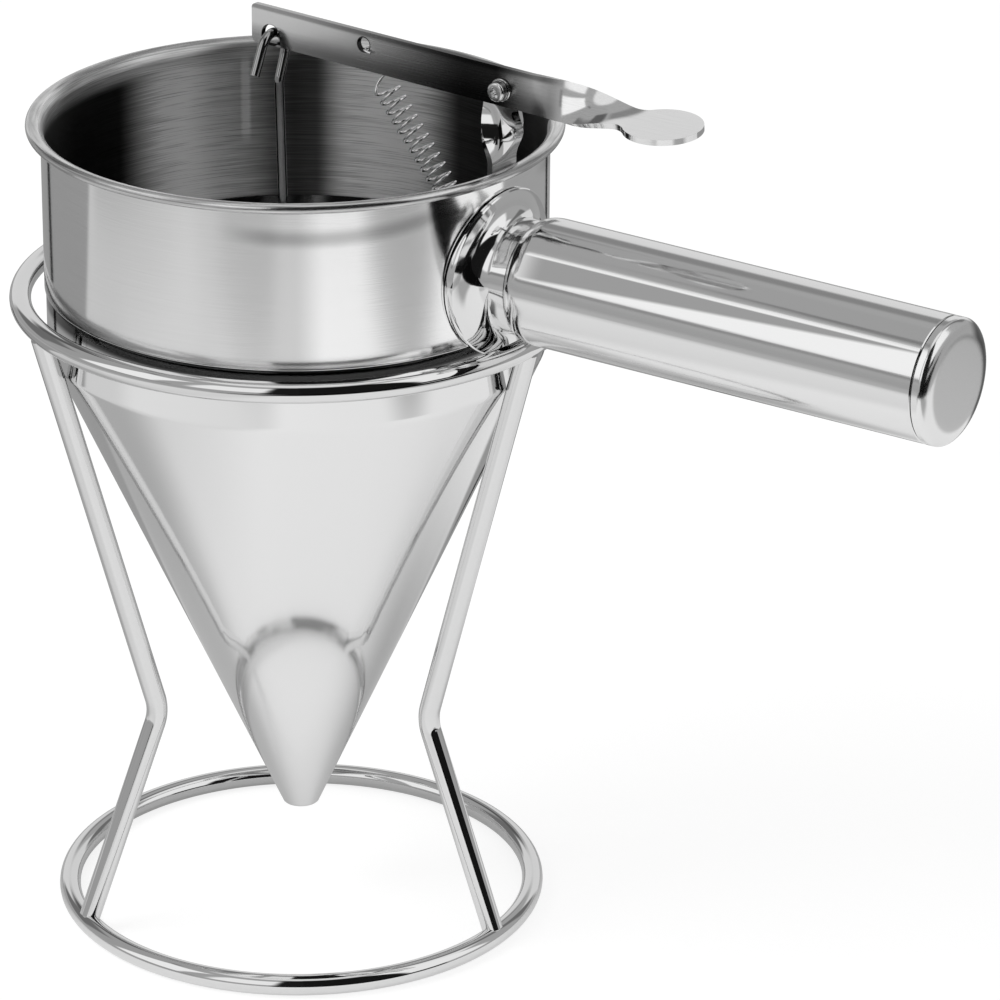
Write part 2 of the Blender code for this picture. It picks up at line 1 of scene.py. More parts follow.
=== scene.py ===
# %% [markdown]
# # A batter dispenser in its wire stand
# A steel funnel holds pancake batter. A thumb lever lifts a rod, and the plug on the rod opens the
# nozzle. This lesson dresses a measured CAD frame with finer pieces and with real metal finishes.
# Everything is in metres, in the frame of the CAD model, with the handle along +X.

import math

import bmesh
import bpy
from mathutils import Matrix, Vector


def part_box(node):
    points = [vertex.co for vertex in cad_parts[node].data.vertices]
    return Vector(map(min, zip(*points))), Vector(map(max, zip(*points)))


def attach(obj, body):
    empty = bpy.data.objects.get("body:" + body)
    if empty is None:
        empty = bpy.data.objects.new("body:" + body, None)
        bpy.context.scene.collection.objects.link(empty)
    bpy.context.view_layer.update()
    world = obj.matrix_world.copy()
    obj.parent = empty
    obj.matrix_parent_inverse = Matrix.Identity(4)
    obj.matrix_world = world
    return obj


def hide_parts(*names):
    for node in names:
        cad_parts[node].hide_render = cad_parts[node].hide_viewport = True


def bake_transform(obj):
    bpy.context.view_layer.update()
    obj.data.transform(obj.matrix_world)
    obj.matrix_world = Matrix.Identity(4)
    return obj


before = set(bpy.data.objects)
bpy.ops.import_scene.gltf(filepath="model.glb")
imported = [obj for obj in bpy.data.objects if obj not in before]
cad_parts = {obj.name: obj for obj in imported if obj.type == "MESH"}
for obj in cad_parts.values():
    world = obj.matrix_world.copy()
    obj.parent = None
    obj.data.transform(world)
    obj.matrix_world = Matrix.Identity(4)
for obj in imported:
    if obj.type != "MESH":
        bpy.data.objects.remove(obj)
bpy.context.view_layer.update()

# %% [markdown]
# ## Where the funnel stands
# Nearly every piece is turned about one upright line, the funnel's axis. The CAD node of the bowl
# gives its place, so no number has to be fitted. Sizes that a shape and a finish both need are
# named here, so that a painted edge always falls on the real one.

# %% The funnel's axis and the shared sizes
bowl_low, bowl_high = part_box("bowl_wall")
axis_x = (bowl_low.x + bowl_high.x) / 2
cone_slope = 0.4497
handle_z = 0.1916
pivot_out, pivot_z = 0.0647, 0.2396
lever_reach, lever_width, lever_rise, lever_fall = 0.0773, 0.0101, 0.0081, 0.0026
twist_start = 0.0085
hole_back, hole_up, hole_radius = 0.0421, 0.0036, 0.00185
slot_x, slot_radius, slot_spring = -0.0066, 0.0028, 0.0005
print("the funnel's axis is at x =", round(axis_x, 5))


def in_scene(name, data):
    """A new object in the scene."""
    made = bpy.data.objects.new(name, data)
    bpy.context.scene.collection.objects.link(made)
    return made


def as_mesh(name, bm):
    """The mesh of a bmesh, which is given up."""
    mesh = bpy.data.meshes.new(name)
    bm.to_mesh(mesh)
    bm.free()
    return mesh


# %% [markdown]
# ## The camera
# The photograph was taken from above the handle's front side, with a long lens. A long lens keeps
# the near and the far side of the rings almost the same size. The angles are turned into one
# matrix, first the roll, then the tilt, then the turn about the upright axis.

# %% The camera
view_turn = math.radians(37.0)
camera_turn = view_turn - math.radians(2.415)
camera_tilt = math.radians(90 - 22.933)
camera_roll = math.radians(0.5)
camera_place = (0.6796, -0.9808, 0.6332)
camera_data = bpy.data.cameras.new("photo_camera")
camera_data.lens = 182.52
camera_data.sensor_width = 36.0
camera_data.clip_start = 0.05
camera = in_scene("photo_camera", camera_data)
camera.matrix_world = (
    Matrix.Translation(camera_place)
    @ Matrix.Rotation(camera_turn, 4, "Z")
    @ Matrix.Rotation(camera_tilt, 4, "X")
    @ Matrix.Rotation(camera_roll, 4, "Z")
)
bpy.context.scene.camera = camera
bpy.context.scene.view_settings.view_transform = "Standard"
print("camera at", [round(value, 3) for value in camera.matrix_world.translation])

# %% [markdown]
# ## Writing shaders as sums
# A material is a network of nodes. Writing it as arithmetic keeps it readable, so a reading wraps
# one output socket, and each sum on readings adds the Math node that works it out.

# %% Readings
screen_gamma = 2.2


class Reading:
    """One value that the shader works out at every point."""

    def __init__(self, finish, socket):
        self.finish = finish
        self.socket = socket

    def work(self, operation, first, second=0.0):
        return self.finish.node("ShaderNodeMath", {"operation": operation}, {0: first, 1: second})

    def __add__(self, other):
        return self.work("ADD", self, other)

    def __radd__(self, other):
        return self.work("ADD", other, self)

    def __sub__(self, other):
        return self.work("SUBTRACT", self, other)

    def __rsub__(self, other):
        return self.work("SUBTRACT", other, self)

    def __mul__(self, other):
        return self.work("MULTIPLY", self, other)

    def __rmul__(self, other):
        return self.work("MULTIPLY", other, self)

    def __truediv__(self, other):
        return self.work("DIVIDE", self, other)

    def __rtruediv__(self, other):
        return self.work("DIVIDE", other, self)

    def __abs__(self):
        return self.work("ABSOLUTE", self)

    def root(self):
        return self.work("SQRT", self)

    def most(self, other):
        return self.work("MAXIMUM", self, other)

    def least(self, other):
        return self.work("MINIMUM", self, other)

    def light(self):
        """The light behind a tone, which is given as it looks on screen."""
        return self.work("POWER", self, screen_gamma)

    def bearing(self, other):
        """The angle, in degrees, of a point that lies this far up and the other far along."""
        return self.work("ARCTAN2", self, other) * (180 / math.pi)

    def towards(self, goal, share):
        """This reading, moved a share of the way to a goal."""
        return self + share * (goal - self)

    def step(self, low, high, start=0.0, end=1.0):
        """A soft step from start to end while the reading goes from low to high."""
        inputs = {"Value": self, "From Min": low, "From Max": high, "To Min": start, "To Max": end}
        return self.finish.node("ShaderNodeMapRange", {"interpolation_type": "SMOOTHSTEP"}, inputs)

    def within(self, middle, half, soft):
        """1 up to half a width from the middle and 0 past it, with a soft edge."""
        return abs(self - middle).step(half - soft, half + soft, 1.0, 0.0)


def spread(across, along):
    """How far a point lies from a middle, from its two distances."""
    return (across * across + along * along).root()


print("readings can be added, multiplied, stepped and mixed")

# %% [markdown]
# ## One network for each finish
# Every material here, and the world too, starts from the same few nodes: where the point lies,
# noise for scratches, and which kind of ray asks. A small class keeps these in one place.

# %% Finishes


class Finish:
    """A shader network, for a material or for the world."""

    def __init__(self, owner):
        self.owner = owner
        owner.use_nodes = True
        self.tree = owner.node_tree
        self.tree.nodes.clear()

    def node(self, kind, settings=None, inputs=None, output=0):
        """Add a node, set it up, then fill its sockets with numbers or with other readings."""
        made = self.tree.nodes.new(kind)
        for name, value in (settings or {}).items():
            setattr(made, name, value)
        for name, value in (inputs or {}).items():
            if isinstance(value, Reading):
                self.tree.links.new(value.socket, made.inputs[name])
            else:
                made.inputs[name].default_value = value
        return Reading(self, made.outputs[output] if made.outputs else None)

    def split(self, vector):
        """The three parts of a vector."""
        inputs = {"Vector": vector}
        return [self.node("ShaderNodeSeparateXYZ", inputs=inputs, output=i) for i in range(3)]

    def place(self):
        """Object coordinates, split in three and measured from the funnel's axis."""
        x, y, z = self.split(self.node("ShaderNodeTexCoord", output="Object"))
        return x - axis_x, y, z

    def point(self, x, y, z):
        return self.node("ShaderNodeCombineXYZ", inputs={"X": x, "Y": y, "Z": z})

    def noise(self, point, scale=1.0, detail=2.0):
        return self.node(
            "ShaderNodeTexNoise", inputs={"Vector": point, "Scale": scale, "Detail": detail}
        )

    def grey(self, tone):
        inputs = {"Red": tone, "Green": tone, "Blue": tone}
        return self.node("ShaderNodeCombineColor", inputs=inputs)

    def rays(self):
        """1 for the camera's own rays, and 1 for rays that a surface mirrored or let through."""
        seen, glossy, through = [
            self.node("ShaderNodeLightPath", output=name)
            for name in ("Is Camera Ray", "Is Glossy Ray", "Is Transmission Ray")
        ]
        return seen, glossy.most(through)


def painted(tone, across, upward, boxes):
    """Bring the tone to a level inside each soft-edged box, one over the other."""
    for across_at, upward_at, half_across, half_upward, level, soft in boxes:
        inside = across.within(across_at, half_across, soft)
        inside = inside * upward.within(upward_at, half_upward, soft)
        tone = tone.towards(level, inside)
    return tone


print("shader tools ready")

# %% [markdown]
# ## The studio
# Bright metal has hardly any colour of its own. What shows on it is the room. A real studio could
# be built from soft boxes and screens, but painting the sky that mirrored rays meet is quicker and
# keeps each tone where it is wanted. The camera sees plain white, and all other rays find a plain
# level, so the light on the object stays even.

# %% The world
studio = bpy.data.worlds.new("studio")
bpy.context.scene.world = studio
room = Finish(studio)
turned_way = room.node(
    "ShaderNodeMapping",
    {"vector_type": "POINT"},
    {
        "Vector": room.node("ShaderNodeTexCoord", output="Generated"),
        "Rotation": (0.0, 0.0, -view_turn),
    },
)
right, away, up = room.split(turned_way)
bearing = right.bearing(away)
height = up.work("ARCSINE", up) * (180 / math.pi)

# Bearing, height, half width and half height in degrees, tone as it looks on screen, and softness
patches = (
    (-50.0, 40.0, 34.0, 30.0, 0.72, 4.0),
    (-45.0, 24.0, 18.0, 14.0, 0.50, 3.0),
    (-22.0, 34.0, 9.0, 14.0, 0.42, 2.0),
    (2.0, 37.0, 11.0, 7.0, 0.60, 3.0),
    (5.0, 12.0, 38.0, 17.0, 0.98, 3.0),
    (52.0, 42.0, 8.0, 30.0, 0.50, 3.0),
    (78.0, 60.0, 12.0, 16.0, 1.05, 3.0),
    (109.0, 38.0, 23.0, 26.0, 1.10, 3.0),
    (130.0, 8.0, 18.0, 4.0, 0.12, 1.5),
    (157.0, 25.0, 25.0, 42.0, 0.13, 3.0),
    (-176.0, 25.0, 9.0, 40.0, 0.15, 3.0),
    (-152.0, 34.0, 16.0, 20.0, 1.10, 3.0),
    (-104.0, 35.0, 18.0, 21.5, 1.12, 2.0),
    (-116.0, 11.5, 14.0, 2.0, 0.60, 1.5),
    (-76.0, 60.3, 7.0, 1.3, 0.52, 0.8),
    (0.0, 84.0, 200.0, 13.0, 1.02, 3.0),
)
ambient = 0.75
sky = painted(height.step(2.0, 5.0, 0.72, 0.74), bearing, height, patches)
seen, mirrored = room.rays()
strength = seen + mirrored * sky.light() + (1.0 - seen - mirrored) * ambient
room.node(
    "ShaderNodeOutputWorld",
    inputs={"Surface": room.node("ShaderNodeBackground", inputs={"Strength": strength})},
)
print("world has", len(room.tree.nodes), "nodes")

# %% [markdown]
# ## The table
# A plain pale floor carries the object and takes its soft shadow. In the metal it shows as a white
# sheet with a few greyer areas, and those just behind the object are its shadow, painted on. The
# sheet ends a hand's breadth behind the object, and two dark lines run back from there. Far in
# front, all but the left is dark, as a room is past its lamps.

# %% The floor
floor_bm = bmesh.new()
bmesh.ops.create_grid(floor_bm, x_segments=1, y_segments=1, size=6.0)
floor = in_scene("floor", as_mesh("floor", floor_bm))
table = Finish(bpy.data.materials.new("table_top"))
east, north, _ = table.place()
cos_turn, sin_turn = math.cos(view_turn), math.sin(view_turn)
to_right = east * cos_turn + north * sin_turn
to_back = north * cos_turn - east * sin_turn

# The three rows centred behind the object are its shadow, painted on the sheet.
# To the right, to the back, half width and half depth in metres, tone and softness
areas = (
    (-0.30, -0.27, 0.20, 0.20, 0.93, 0.06),
    (0.47, -0.48, 0.14, 0.20, 0.72, 0.06),
    (-0.051, 0.03, 0.050, 0.035, 0.80, 0.02),
    (-0.24, -0.58, 0.13, 0.08, 0.79, 0.05),
    (-0.05, 0.07, 0.17, 0.07, 0.77, 0.045),
    (-0.18, 0.10, 0.08, 0.10, 0.72, 0.05),
    (-0.90, -0.40, 0.25, 0.50, 0.70, 0.04),
)
sheet_tone = painted(to_right.step(-0.20, -0.03, 0.86, 1.0), to_right, to_back, areas)
sheet_tone = sheet_tone.towards(0.64, to_back.step(0.125, 0.145))
print(len(areas), "areas on the sheet")

# %% [markdown]
# ### Beyond the sheet
# The two lines start beside the object and spread apart, so a line's place is measured by how far a
# point lies to the side for each step back. What only the metal sees glows. What the camera sees is
# mostly glow too, with a little matt white that can take a shadow.

# %% The lines, the far table and the floor's shader
line_middle, line_start, line_slant = -0.051, 0.0635, 0.514
slant = (abs(to_right - line_middle) - line_start) / to_back.most(0.01)
line = abs(slant - line_slant).step(0.035, 0.060, 1.0, 0.0) * to_back.step(0.15, 0.20)
sheet_tone = sheet_tone - line * 0.58
far = (to_right * to_right + to_back * to_back).step(0.60, 0.68)
sheet_tone = sheet_tone.towards(0.72, far)
dark_room = far * to_right.step(-0.50, -0.40) * to_back.step(-0.35, -0.45)
sheet_tone = sheet_tone.towards(0.08, dark_room).light()
seen, mirrored = table.rays()
glow_tone = seen * 0.80 + mirrored * (sheet_tone * 0.45)
matt_tone = seen * 0.30 + mirrored * (sheet_tone * 0.55) + (1.0 - seen - mirrored) * 0.85
glow = table.node("ShaderNodeEmission", inputs={"Strength": glow_tone})
matt = table.node("ShaderNodeBsdfDiffuse", inputs={"Color": table.grey(matt_tone)})
table.node(
    "ShaderNodeOutputMaterial",
    inputs={"Surface": table.node("ShaderNodeAddShader", inputs={0: glow, 1: matt})},
)
floor.data.materials.append(table.owner)
print("floor has", len(table.tree.nodes), "nodes")

# %% [markdown]
# ## One large soft lamp
# A wide lamp high on the left gives a hint of direction to the shadow under the rings. It would
# show in the metal as one more bright patch, so mirrored rays don't see it.

# %% The lamp
lamp_data = bpy.data.lights.new("soft_lamp", "AREA")
lamp_data.shape = "RECTANGLE"
lamp_data.size = 0.9
lamp_data.size_y = 0.7
lamp_data.energy = 9.0
lamp = in_scene("soft_lamp", lamp_data)
lamp.visible_glossy = False
lamp.location = (-0.75, -0.85, 1.35)
to_funnel = Vector((axis_x, 0, 0.1)) - lamp.location
lamp.rotation_euler = to_funnel.to_track_quat("-Z", "Y").to_euler()
print("lamp", lamp_data.energy, "W")

# %% [markdown]
# ## The steels
# All the steel is the same alloy. It differs in how it was finished. Mirror polish has almost no
# roughness. A belt or a pad leaves fine parallel scratches, and these blur reflections across their
# own direction. Streaks of noise that are long one way and thin the other draw such scratches, as a
# bump and as a change of roughness, and inside the bowl as a change of tone too.

# %% Steel and its scratches


def given(value, steel):
    """A number as it is, or what a function works out in this steel's network."""
    return value(steel) if callable(value) else value


def metal(name, shade, roughness, streaks, depth, change, stretch=0.0, tint=0.0):
    """Steel whose scratches come from a function that places the streak noise."""
    steel = Finish(bpy.data.materials.new(name))
    grain = streaks(steel)
    tone = given(shade, steel) * ((grain - 0.5) * given(tint, steel) + 1.0)
    inputs = {
        "Base Color": steel.grey(tone.least(1.0)),
        "Metallic": 1.0,
        "Roughness": given(roughness, steel) + (grain - 0.5) * change,
        "Anisotropic": stretch,
        "Anisotropic Rotation": 0.25,
        "Normal": steel.node(
            "ShaderNodeBump", inputs={"Strength": 1.0, "Distance": depth, "Height": grain}
        ),
    }
    shader = steel.node("ShaderNodeBsdfPrincipled", inputs=inputs)
    steel.node("ShaderNodeOutputMaterial", inputs={"Surface": shader})
    return steel.owner


def round_streaks(length, width):
    """Scratches that run round the funnel."""

    def streaks(steel):
        x, y, z = steel.place()
        reach = spread(x, y)
        turn = 0.065 / length
        fine = steel.noise(steel.point(x / reach * turn, y / reach * turn, z / width))
        broad = steel.noise(
            steel.point(x / reach * turn * 0.3, y / reach * turn * 0.3, z / width * 0.22)
        )
        return fine * 0.8 + broad * 0.2

    return streaks


def straight_streaks(length, width):
    """Scratches that run along X."""

    def streaks(steel):
        x, y, z = steel.place()
        return steel.noise(steel.point(x / length, y / width, z / width))

    return streaks


def clouds(size):
    """The slight unevenness of polished sheet, with no direction."""
    return straight_streaks(size, size)


print("steel can be streaked round, along or not at all")

# %% [markdown]
# ## The bowl's two finishes
# Inside, the band was brushed in sweeps. Its lighter and darker panels, a thin bright upright
# streak and a lighter strip under the rim are painted reflections as much as marks of the brushing.
# Outside it was polished; its broad highlight is a painted reflection, and the soft curved shadow
# under the rim is painted shade. One material serves both sides, since they are one sheet: the
# distance from the axis tells them apart, and the bearing round the bowl places the panels.

# %% The bowl's steel

# Where the inside changes tone, painted reflection as much as brushing: from and to in degrees
# round the bowl, and by how much
inside_tone = 0.05
inside_sweeps_and_reflections = (
    (84.0, 99.0, 0.95),
    (106.0, 116.0, -0.22),
    (114.0, 122.5, -0.69),
    (127.0, 150.0, 0.91),
    (157.0, 174.0, -0.98),
    (217.0, 237.0, 0.85),
    (375.0, 395.0, -0.85),
)
# The same for the outside, where the changes are painted reflection, in degrees from the handle to
# either side
outside_tone = 0.78
outside_painted_reflections = ((74.0, 68.0, 0.06), (61.0, 55.5, -0.16), (54.0, 46.0, 0.32))


def round_bowl(steel):
    """Shares of the outside and of the rim's flare, bearing from the handle, and height."""
    x, y, z = steel.place()
    reach = spread(x, y)
    outside = reach.step(0.06472, 0.06492) * z.step(0.2172, 0.2168)
    return outside, reach.step(0.0645, 0.0662), y.bearing(x), z


def bowl_roughness(steel):
    """Satin inside the bowl and nearly a mirror outside it."""
    outside, flare, _, _ = round_bowl(steel)
    return 0.38 - outside * 0.28 - flare * (1.0 - outside) * 0.16


def bowl_shade(steel):
    """Painted light and brushing: panels and a streak inside, a highlight and a shadow outside."""
    outside, flare, bearing_at, z = round_bowl(steel)
    wrapped = {0: bearing_at - 37.0, 1: 360.0}
    around = steel.node("ShaderNodeMath", {"operation": "FLOORED_MODULO"}, wrapped) + 37.0
    inside = inside_tone
    for low, high, change in inside_sweeps_and_reflections:
        inside = inside + around.step(low, high) * change
    # A thin bright upright streak high on the inside is a painted highlight.
    painted_streak = abs(around - 139.0).step(0.4, 1.6, 1.0, 0.0)
    inside = inside + painted_streak * z.step(0.190, 0.196) * 0.45
    # A lighter strip under the rim, inside, is a painted reflection.
    inside = inside.towards(0.62, z.step(0.2120, 0.2162) * around.step(122.0, 142.0))
    inside = inside.towards(0.60, flare)
    # Outside, the tone changes by bearing are a painted reflection.
    aside = abs(bearing_at)
    band = outside_tone
    for low, high, change in outside_painted_reflections:
        band = band + aside.step(low, high) * change
    # The soft curved shadow under the rim is painted shade.
    shadow_z = (aside - 49.0) * (aside - 49.0) * 0.0000035 + 0.2096
    shadow = abs(z - shadow_z).step(0.0002, 0.0034, 1.0, 0.0)
    shadow = shadow * abs(aside - 42.0).step(16.0, 30.0, 1.0, 0.0)
    return inside.towards(band - band * shadow * 0.38, outside)


def bowl_tint(steel):
    """The scratches show inside the bowl and hardly outside it."""
    return 2.0 - round_bowl(steel)[0] * 1.86


bowl_steel = metal(
    "bowl_steel",
    bowl_shade,
    bowl_roughness,
    round_streaks(0.014, 0.00024),
    depth=0.000006,
    change=0.08,
    stretch=0.9,
    tint=bowl_tint,
)
print(bowl_steel.name, len(bowl_steel.node_tree.nodes), "nodes")

# %% [markdown]
# ## Cone and handle
# The cone is bright outside. The groove above the stand's ring and the inside of the neck are
# painted darker, as shade. The handle's tube is darker in a wedge that narrows to its end, and its
# cap has a satin face in a polished edge, with a painted highlight on the edge and painted shade on
# one side.

# %% The steels of cone, handle and cap


def neck_shade(steel):
    """A bright cone, with painted shade in the groove outside and in the neck inside."""
    x, y, z = steel.place()
    skin = (z * cone_slope - 0.00725).least(0.0642)
    outer = (spread(x, y) - skin).step(-0.0001, 0.0001)
    inner = z.step(0.150, 0.158, 0.95, 0.15)
    return inner.towards(0.86 - z.step(0.1700, 0.1725) * 0.80, outer)


def tube_shade(steel):
    """A darker wedge: its edges are angles round the tube, the lower one slanting."""
    x, y, z = steel.place()
    turn = (z - handle_z).bearing(0.0 - y)
    lower = turn - (x * 176.0 + (24.0 - 176.0 * 0.0909))
    darker_wedge = lower.step(-2.0, 1.5) * turn.step(43.5, 42.0) * x.step(0.074, 0.086)
    return 0.84 - darker_wedge * 0.52


def cap_edge(steel):
    """1 on the cap's polished edge and 0 on its satin face."""
    _, y, z = steel.place()
    return spread(y, z - handle_z).step(0.0112, 0.0126)


def cap_shade(steel):
    """Satin face, painted highlight on the edge, painted shade on the side away from the lamp."""
    _, y, _ = steel.place()
    edge = cap_edge(steel)
    return 0.56 + edge * 0.30 - edge * y.step(0.0045, 0.0090) * 0.74


def cap_roughness(steel):
    return 0.24 - cap_edge(steel) * 0.10


cone_steel = metal("cone_steel", neck_shade, 0.075, clouds(0.030), 0.00002, 0.02)
mirror_steel = metal("mirror_steel", 0.82, 0.05, clouds(0.012), 0.00001, 0.02)
tube_streaks = straight_streaks(0.016, 0.00030)
tube_steel = metal("tube_steel", tube_shade, 0.10, tube_streaks, 0.000003, 0.05)
cap_steel = metal("cap_steel", cap_shade, cap_roughness, clouds(0.0007), 0.000003, 0.05)
print("cone, plate, tube and cap have their steel")

# %% [markdown]
# ## The lever's steel
# The lever is brushed along its length, and past the pivot it is polished. Its tone is painted
# reflection: light at its far end, darker towards the pivot and lighter upwards to a dark top edge.
# The rims of its holes are painted dark, as they mirror the dark inside of the bowl. All of it is
# placed by sizes that the lever's shape uses too.

# %% The steel of the lever and the rod


def lever_spots(steel):
    """Along the lever from the pivot, up from its lower edge, and 1 on the rims of its holes."""
    x, _, z = steel.place()
    along_it = x - pivot_out
    slope = lever_fall * (along_it + lever_reach) / (lever_reach + twist_start)
    up_it = z - pivot_z - (lever_rise - lever_width - slope)
    arch = spread(x - slot_x, z - (pivot_z + slot_spring)).step(0.00305, 0.00285)
    foot = abs(x - slot_x).step(0.00305, 0.00292)
    foot = foot * abs(z - (pivot_z - slot_spring)).step(0.00125, 0.00112)
    hole = spread(x - (pivot_out - hole_back), z - (pivot_z + hole_up)).step(0.0022, 0.0020)
    return along_it, up_it, arch.most(foot).most(hole)


def lever_shade(steel):
    """Painted reflection: darker towards the pivot, lighter upwards, one light tone past it."""
    along_it, up_it, rims = lever_spots(steel)
    face = 0.98 - along_it.step(-0.068, -0.010) * 0.955 + along_it.step(-0.002, 0.009) * 0.46
    face = face * up_it.step(0.001, 0.0075, 0.48, 1.22) * up_it.step(0.0083, 0.0094, 1.0, 0.40)
    face = face.towards(0.84, along_it.step(0.012, 0.020))
    # The rims of the holes are painted dark: a painted reflection of the bowl's dark inside.
    return face * (1.0 - rims * 0.95)


def lever_roughness(steel):
    along_it, _, _ = lever_spots(steel)
    return along_it.step(-0.074, -0.040, 0.17, 0.27) - along_it.step(0.004, 0.018) * 0.18


def rod_shade(steel):
    """Darker towards the hook: a painted reflection of the dark things round it."""
    _, _, z = steel.place()
    return z.step(0.216, 0.226, 0.52, 0.36)


lever_streaks = straight_streaks(0.012, 0.00020)
lever_steel = metal(
    "lever_steel", lever_shade, lever_roughness, lever_streaks, 0.000003, 0.04, tint=0.25
)
rod_steel = metal("rod_steel", rod_shade, 0.08, clouds(0.0020), 0.000003, 0.04)
print(lever_steel.name, len(lever_steel.node_tree.nodes), "nodes")

# %% [markdown]
# ## The plain steels
# Strip, screws, spring wire and the chromed stand are each one polish all over. They differ by a
# little roughness and by the size of their unevenness, so one line each is enough.

# %% The steels of small parts and of the stand
strip_steel = metal("strip_steel", 0.80, 0.06, clouds(0.006), 0.00001, 0.03)
screw_steel = metal("screw_steel", 0.74, 0.14, clouds(0.0010), 0.000004, 0.05)
wire_steel = metal("wire_steel", 0.80, 0.07, clouds(0.0020), 0.000003, 0.04)
chrome = metal("chrome", 0.78, 0.035, clouds(0.0060), 0.000003, 0.02)
print(len(bpy.data.materials), "materials")

# %% [markdown]
# ## Drawing a line to turn
# Turned and bent pieces start as a line. Its last point is extruded to go straight and spun to go
# round a bend. Short held ends on a straight keep its shading flat right up to the bend.

# %% A line, and what is made from it
merge_near = 0.0000002


class Track:
    """A line that grows from its last point. Bends run counterclockwise in the X-Z plane."""

    def __init__(self, x, z, y=0.0):
        self.bm = bmesh.new()
        self.bm.verts.new((x, y, z))

    def last(self):
        self.bm.verts.ensure_lookup_table()
        return self.bm.verts[-1]

    def to(self, x, z, y=0.0, held=0.0):
        start, end = self.last().co.copy(), Vector((x, y, z))
        stops = [end]
        if held:
            way = (end - start).normalized() * held
            stops = [start + way, end - way, end]
        for stop in stops:
            made = bmesh.ops.extrude_vert_indiv(self.bm, verts=[self.last()])
            made["verts"][0].co = stop
        return self

    def bend(self, x, z, degrees, steps=6):
        bmesh.ops.spin(
            self.bm,
            geom=[self.last()],
            cent=(x, 0.0, z),
            axis=(0.0, -1.0, 0.0),
            angle=math.radians(degrees),
            steps=steps,
        )
        return self

    def quarter(self, start, end, steps, level_first):
        """A quarter of an ellipse, which leaves its start level or upright."""
        for i in range(1, steps + 1):
            turn = math.radians(90) * i / steps
            shares = (math.sin(turn), 1 - math.cos(turn))
            if not level_first:
                shares = shares[::-1]
            self.to(*(a + (b - a) * share for a, b, share in zip(start, end, shares)))
        return self

    def close(self):
        self.bm.verts.ensure_lookup_table()
        self.bm.edges.new((self.bm.verts[-1], self.bm.verts[0]))
        return self

    def turned(self, steps, axis=(0.0, 0.0, 1.0)):
        """Spin the whole line once round the axis."""
        bm = self.bm
        bmesh.ops.spin(
            bm,
            geom=bm.verts[:] + bm.edges[:],
            cent=(0.0, 0.0, 0.0),
            axis=axis,
            angle=math.tau,
            steps=steps,
            use_merge=True,
        )
        bmesh.ops.remove_doubles(bm, verts=bm.verts, dist=merge_near)
        bmesh.ops.recalc_face_normals(bm, faces=bm.faces)
        return bm


print("line tools ready")

# %% [markdown]
# ## Handing a piece over
# A finished mesh is shaded smooth, with its sharp edges kept. It is then named, rides on its body
# and stands for its CAD nodes. Every piece goes through this one function, so none of the steps
# can be missed.

# %% Finishing a piece


def finished(name, data, body, slot, steel, *nodes, sharp=32):
    """Put a mesh in the scene, shade it, and let it stand for its CAD nodes."""
    mesh = as_mesh(name, data) if isinstance(data, bmesh.types.BMesh) else data
    mesh.shade_smooth()
    mesh.set_sharp_from_angle(angle=math.radians(sharp))
    mesh.materials.clear()
    mesh.materials.append(steel)
    made = in_scene(name, mesh)
    if body:
        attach(made, body)
    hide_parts(*nodes)
    print(name, len(mesh.polygons), "faces")
    return made


def moved(bm, x=0.0, y=0.0, z=0.0):
    bmesh.ops.translate(bm, vec=(x, y, z), verts=bm.verts)
    return bm


print("a piece can be finished")

# %% [markdown]
# ## The bowl
# The band is sheet steel, bent round and welded, with its rim rolled outwards into a bead. Its
# section is drawn once and spun. The roll has to be round, because a polished rim shows a bright
# line wherever it curves.

# %% The bowl's band
hold = 0.00025
round_steps = 224
band_inner, band_outer = 0.0642, 0.0650
roll_x, roll_start, roll_middle = 0.0675, 0.2164, 0.2184
band = Track(band_inner, 0.1752)
band.to(band_inner, roll_start, held=hold).bend(roll_x, roll_start, -90, 16)
band.bend(roll_x, roll_middle, -180, 16)
band.to(0.0655, 0.2171).bend(0.0655, 0.2166, 90, 5)
band.to(band_outer, 0.17535, held=hold).bend(0.06475, 0.17535, -90, 4).to(0.0644, 0.1751).close()
band_bm = moved(band.turned(round_steps), axis_x)
finished("bowl_band", band_bm, "funnel", "brushed_sheet", bowl_steel, "bowl_wall")

# %% [markdown]
# ## The cone
# Below a small step the neck runs down to a soft knee, and the cone runs straight from there to the
# nozzle. It is one sheet, so the inner side follows the outer one a sheet's thickness away.

# %% The cone
tilt = math.degrees(math.atan(cone_slope))
knee_x, knee_z, knee_radius = 0.0606, 0.159758, 0.004
neck_inner = 0.0638
knee_run = (
    knee_x + knee_radius * math.cos(math.radians(tilt)),
    knee_z - knee_radius * math.sin(math.radians(tilt)),
)
cone = Track(0.00481, 0.02595)
cone.to(*knee_run, held=0.0006).bend(knee_x, knee_z, tilt, 10)
cone.to(0.0646, 0.17455, held=hold).bend(0.06435, 0.17455, 90, 4)
cone.to(0.0641, 0.1748).to(0.0641, 0.1756).to(neck_inner, 0.1756)
cone.to(neck_inner, knee_z, held=hold).bend(knee_x, knee_z, -tilt, 10)
cone.to(0.00394, 0.02595).to(0.00405, 0.0257).to(0.00455, 0.0257).close()
cone_bm = moved(cone.turned(round_steps), axis_x)
finished("funnel_cone_sheet", cone_bm, "funnel", "polished_sheet", cone_steel, "funnel_cone")

# %% [markdown]
# ## The handle's plate
# A plate is drawn up out of flat sheet into a short neck and welded to the band. The plate must
# lie on the round band. It could be cut to fit it, but then its edge would lose its even thickness,
# so it is turned flat first and each point is moved back by as much as the band falls away.

# %% The plate
wall = 0.0653
plate_thick, plate_radius, neck_radius, neck_bore = 0.0012, 0.0214, 0.0145, 0.0135
neck_out, neck_end = 0.0700, 0.0745
handle_steps = 128
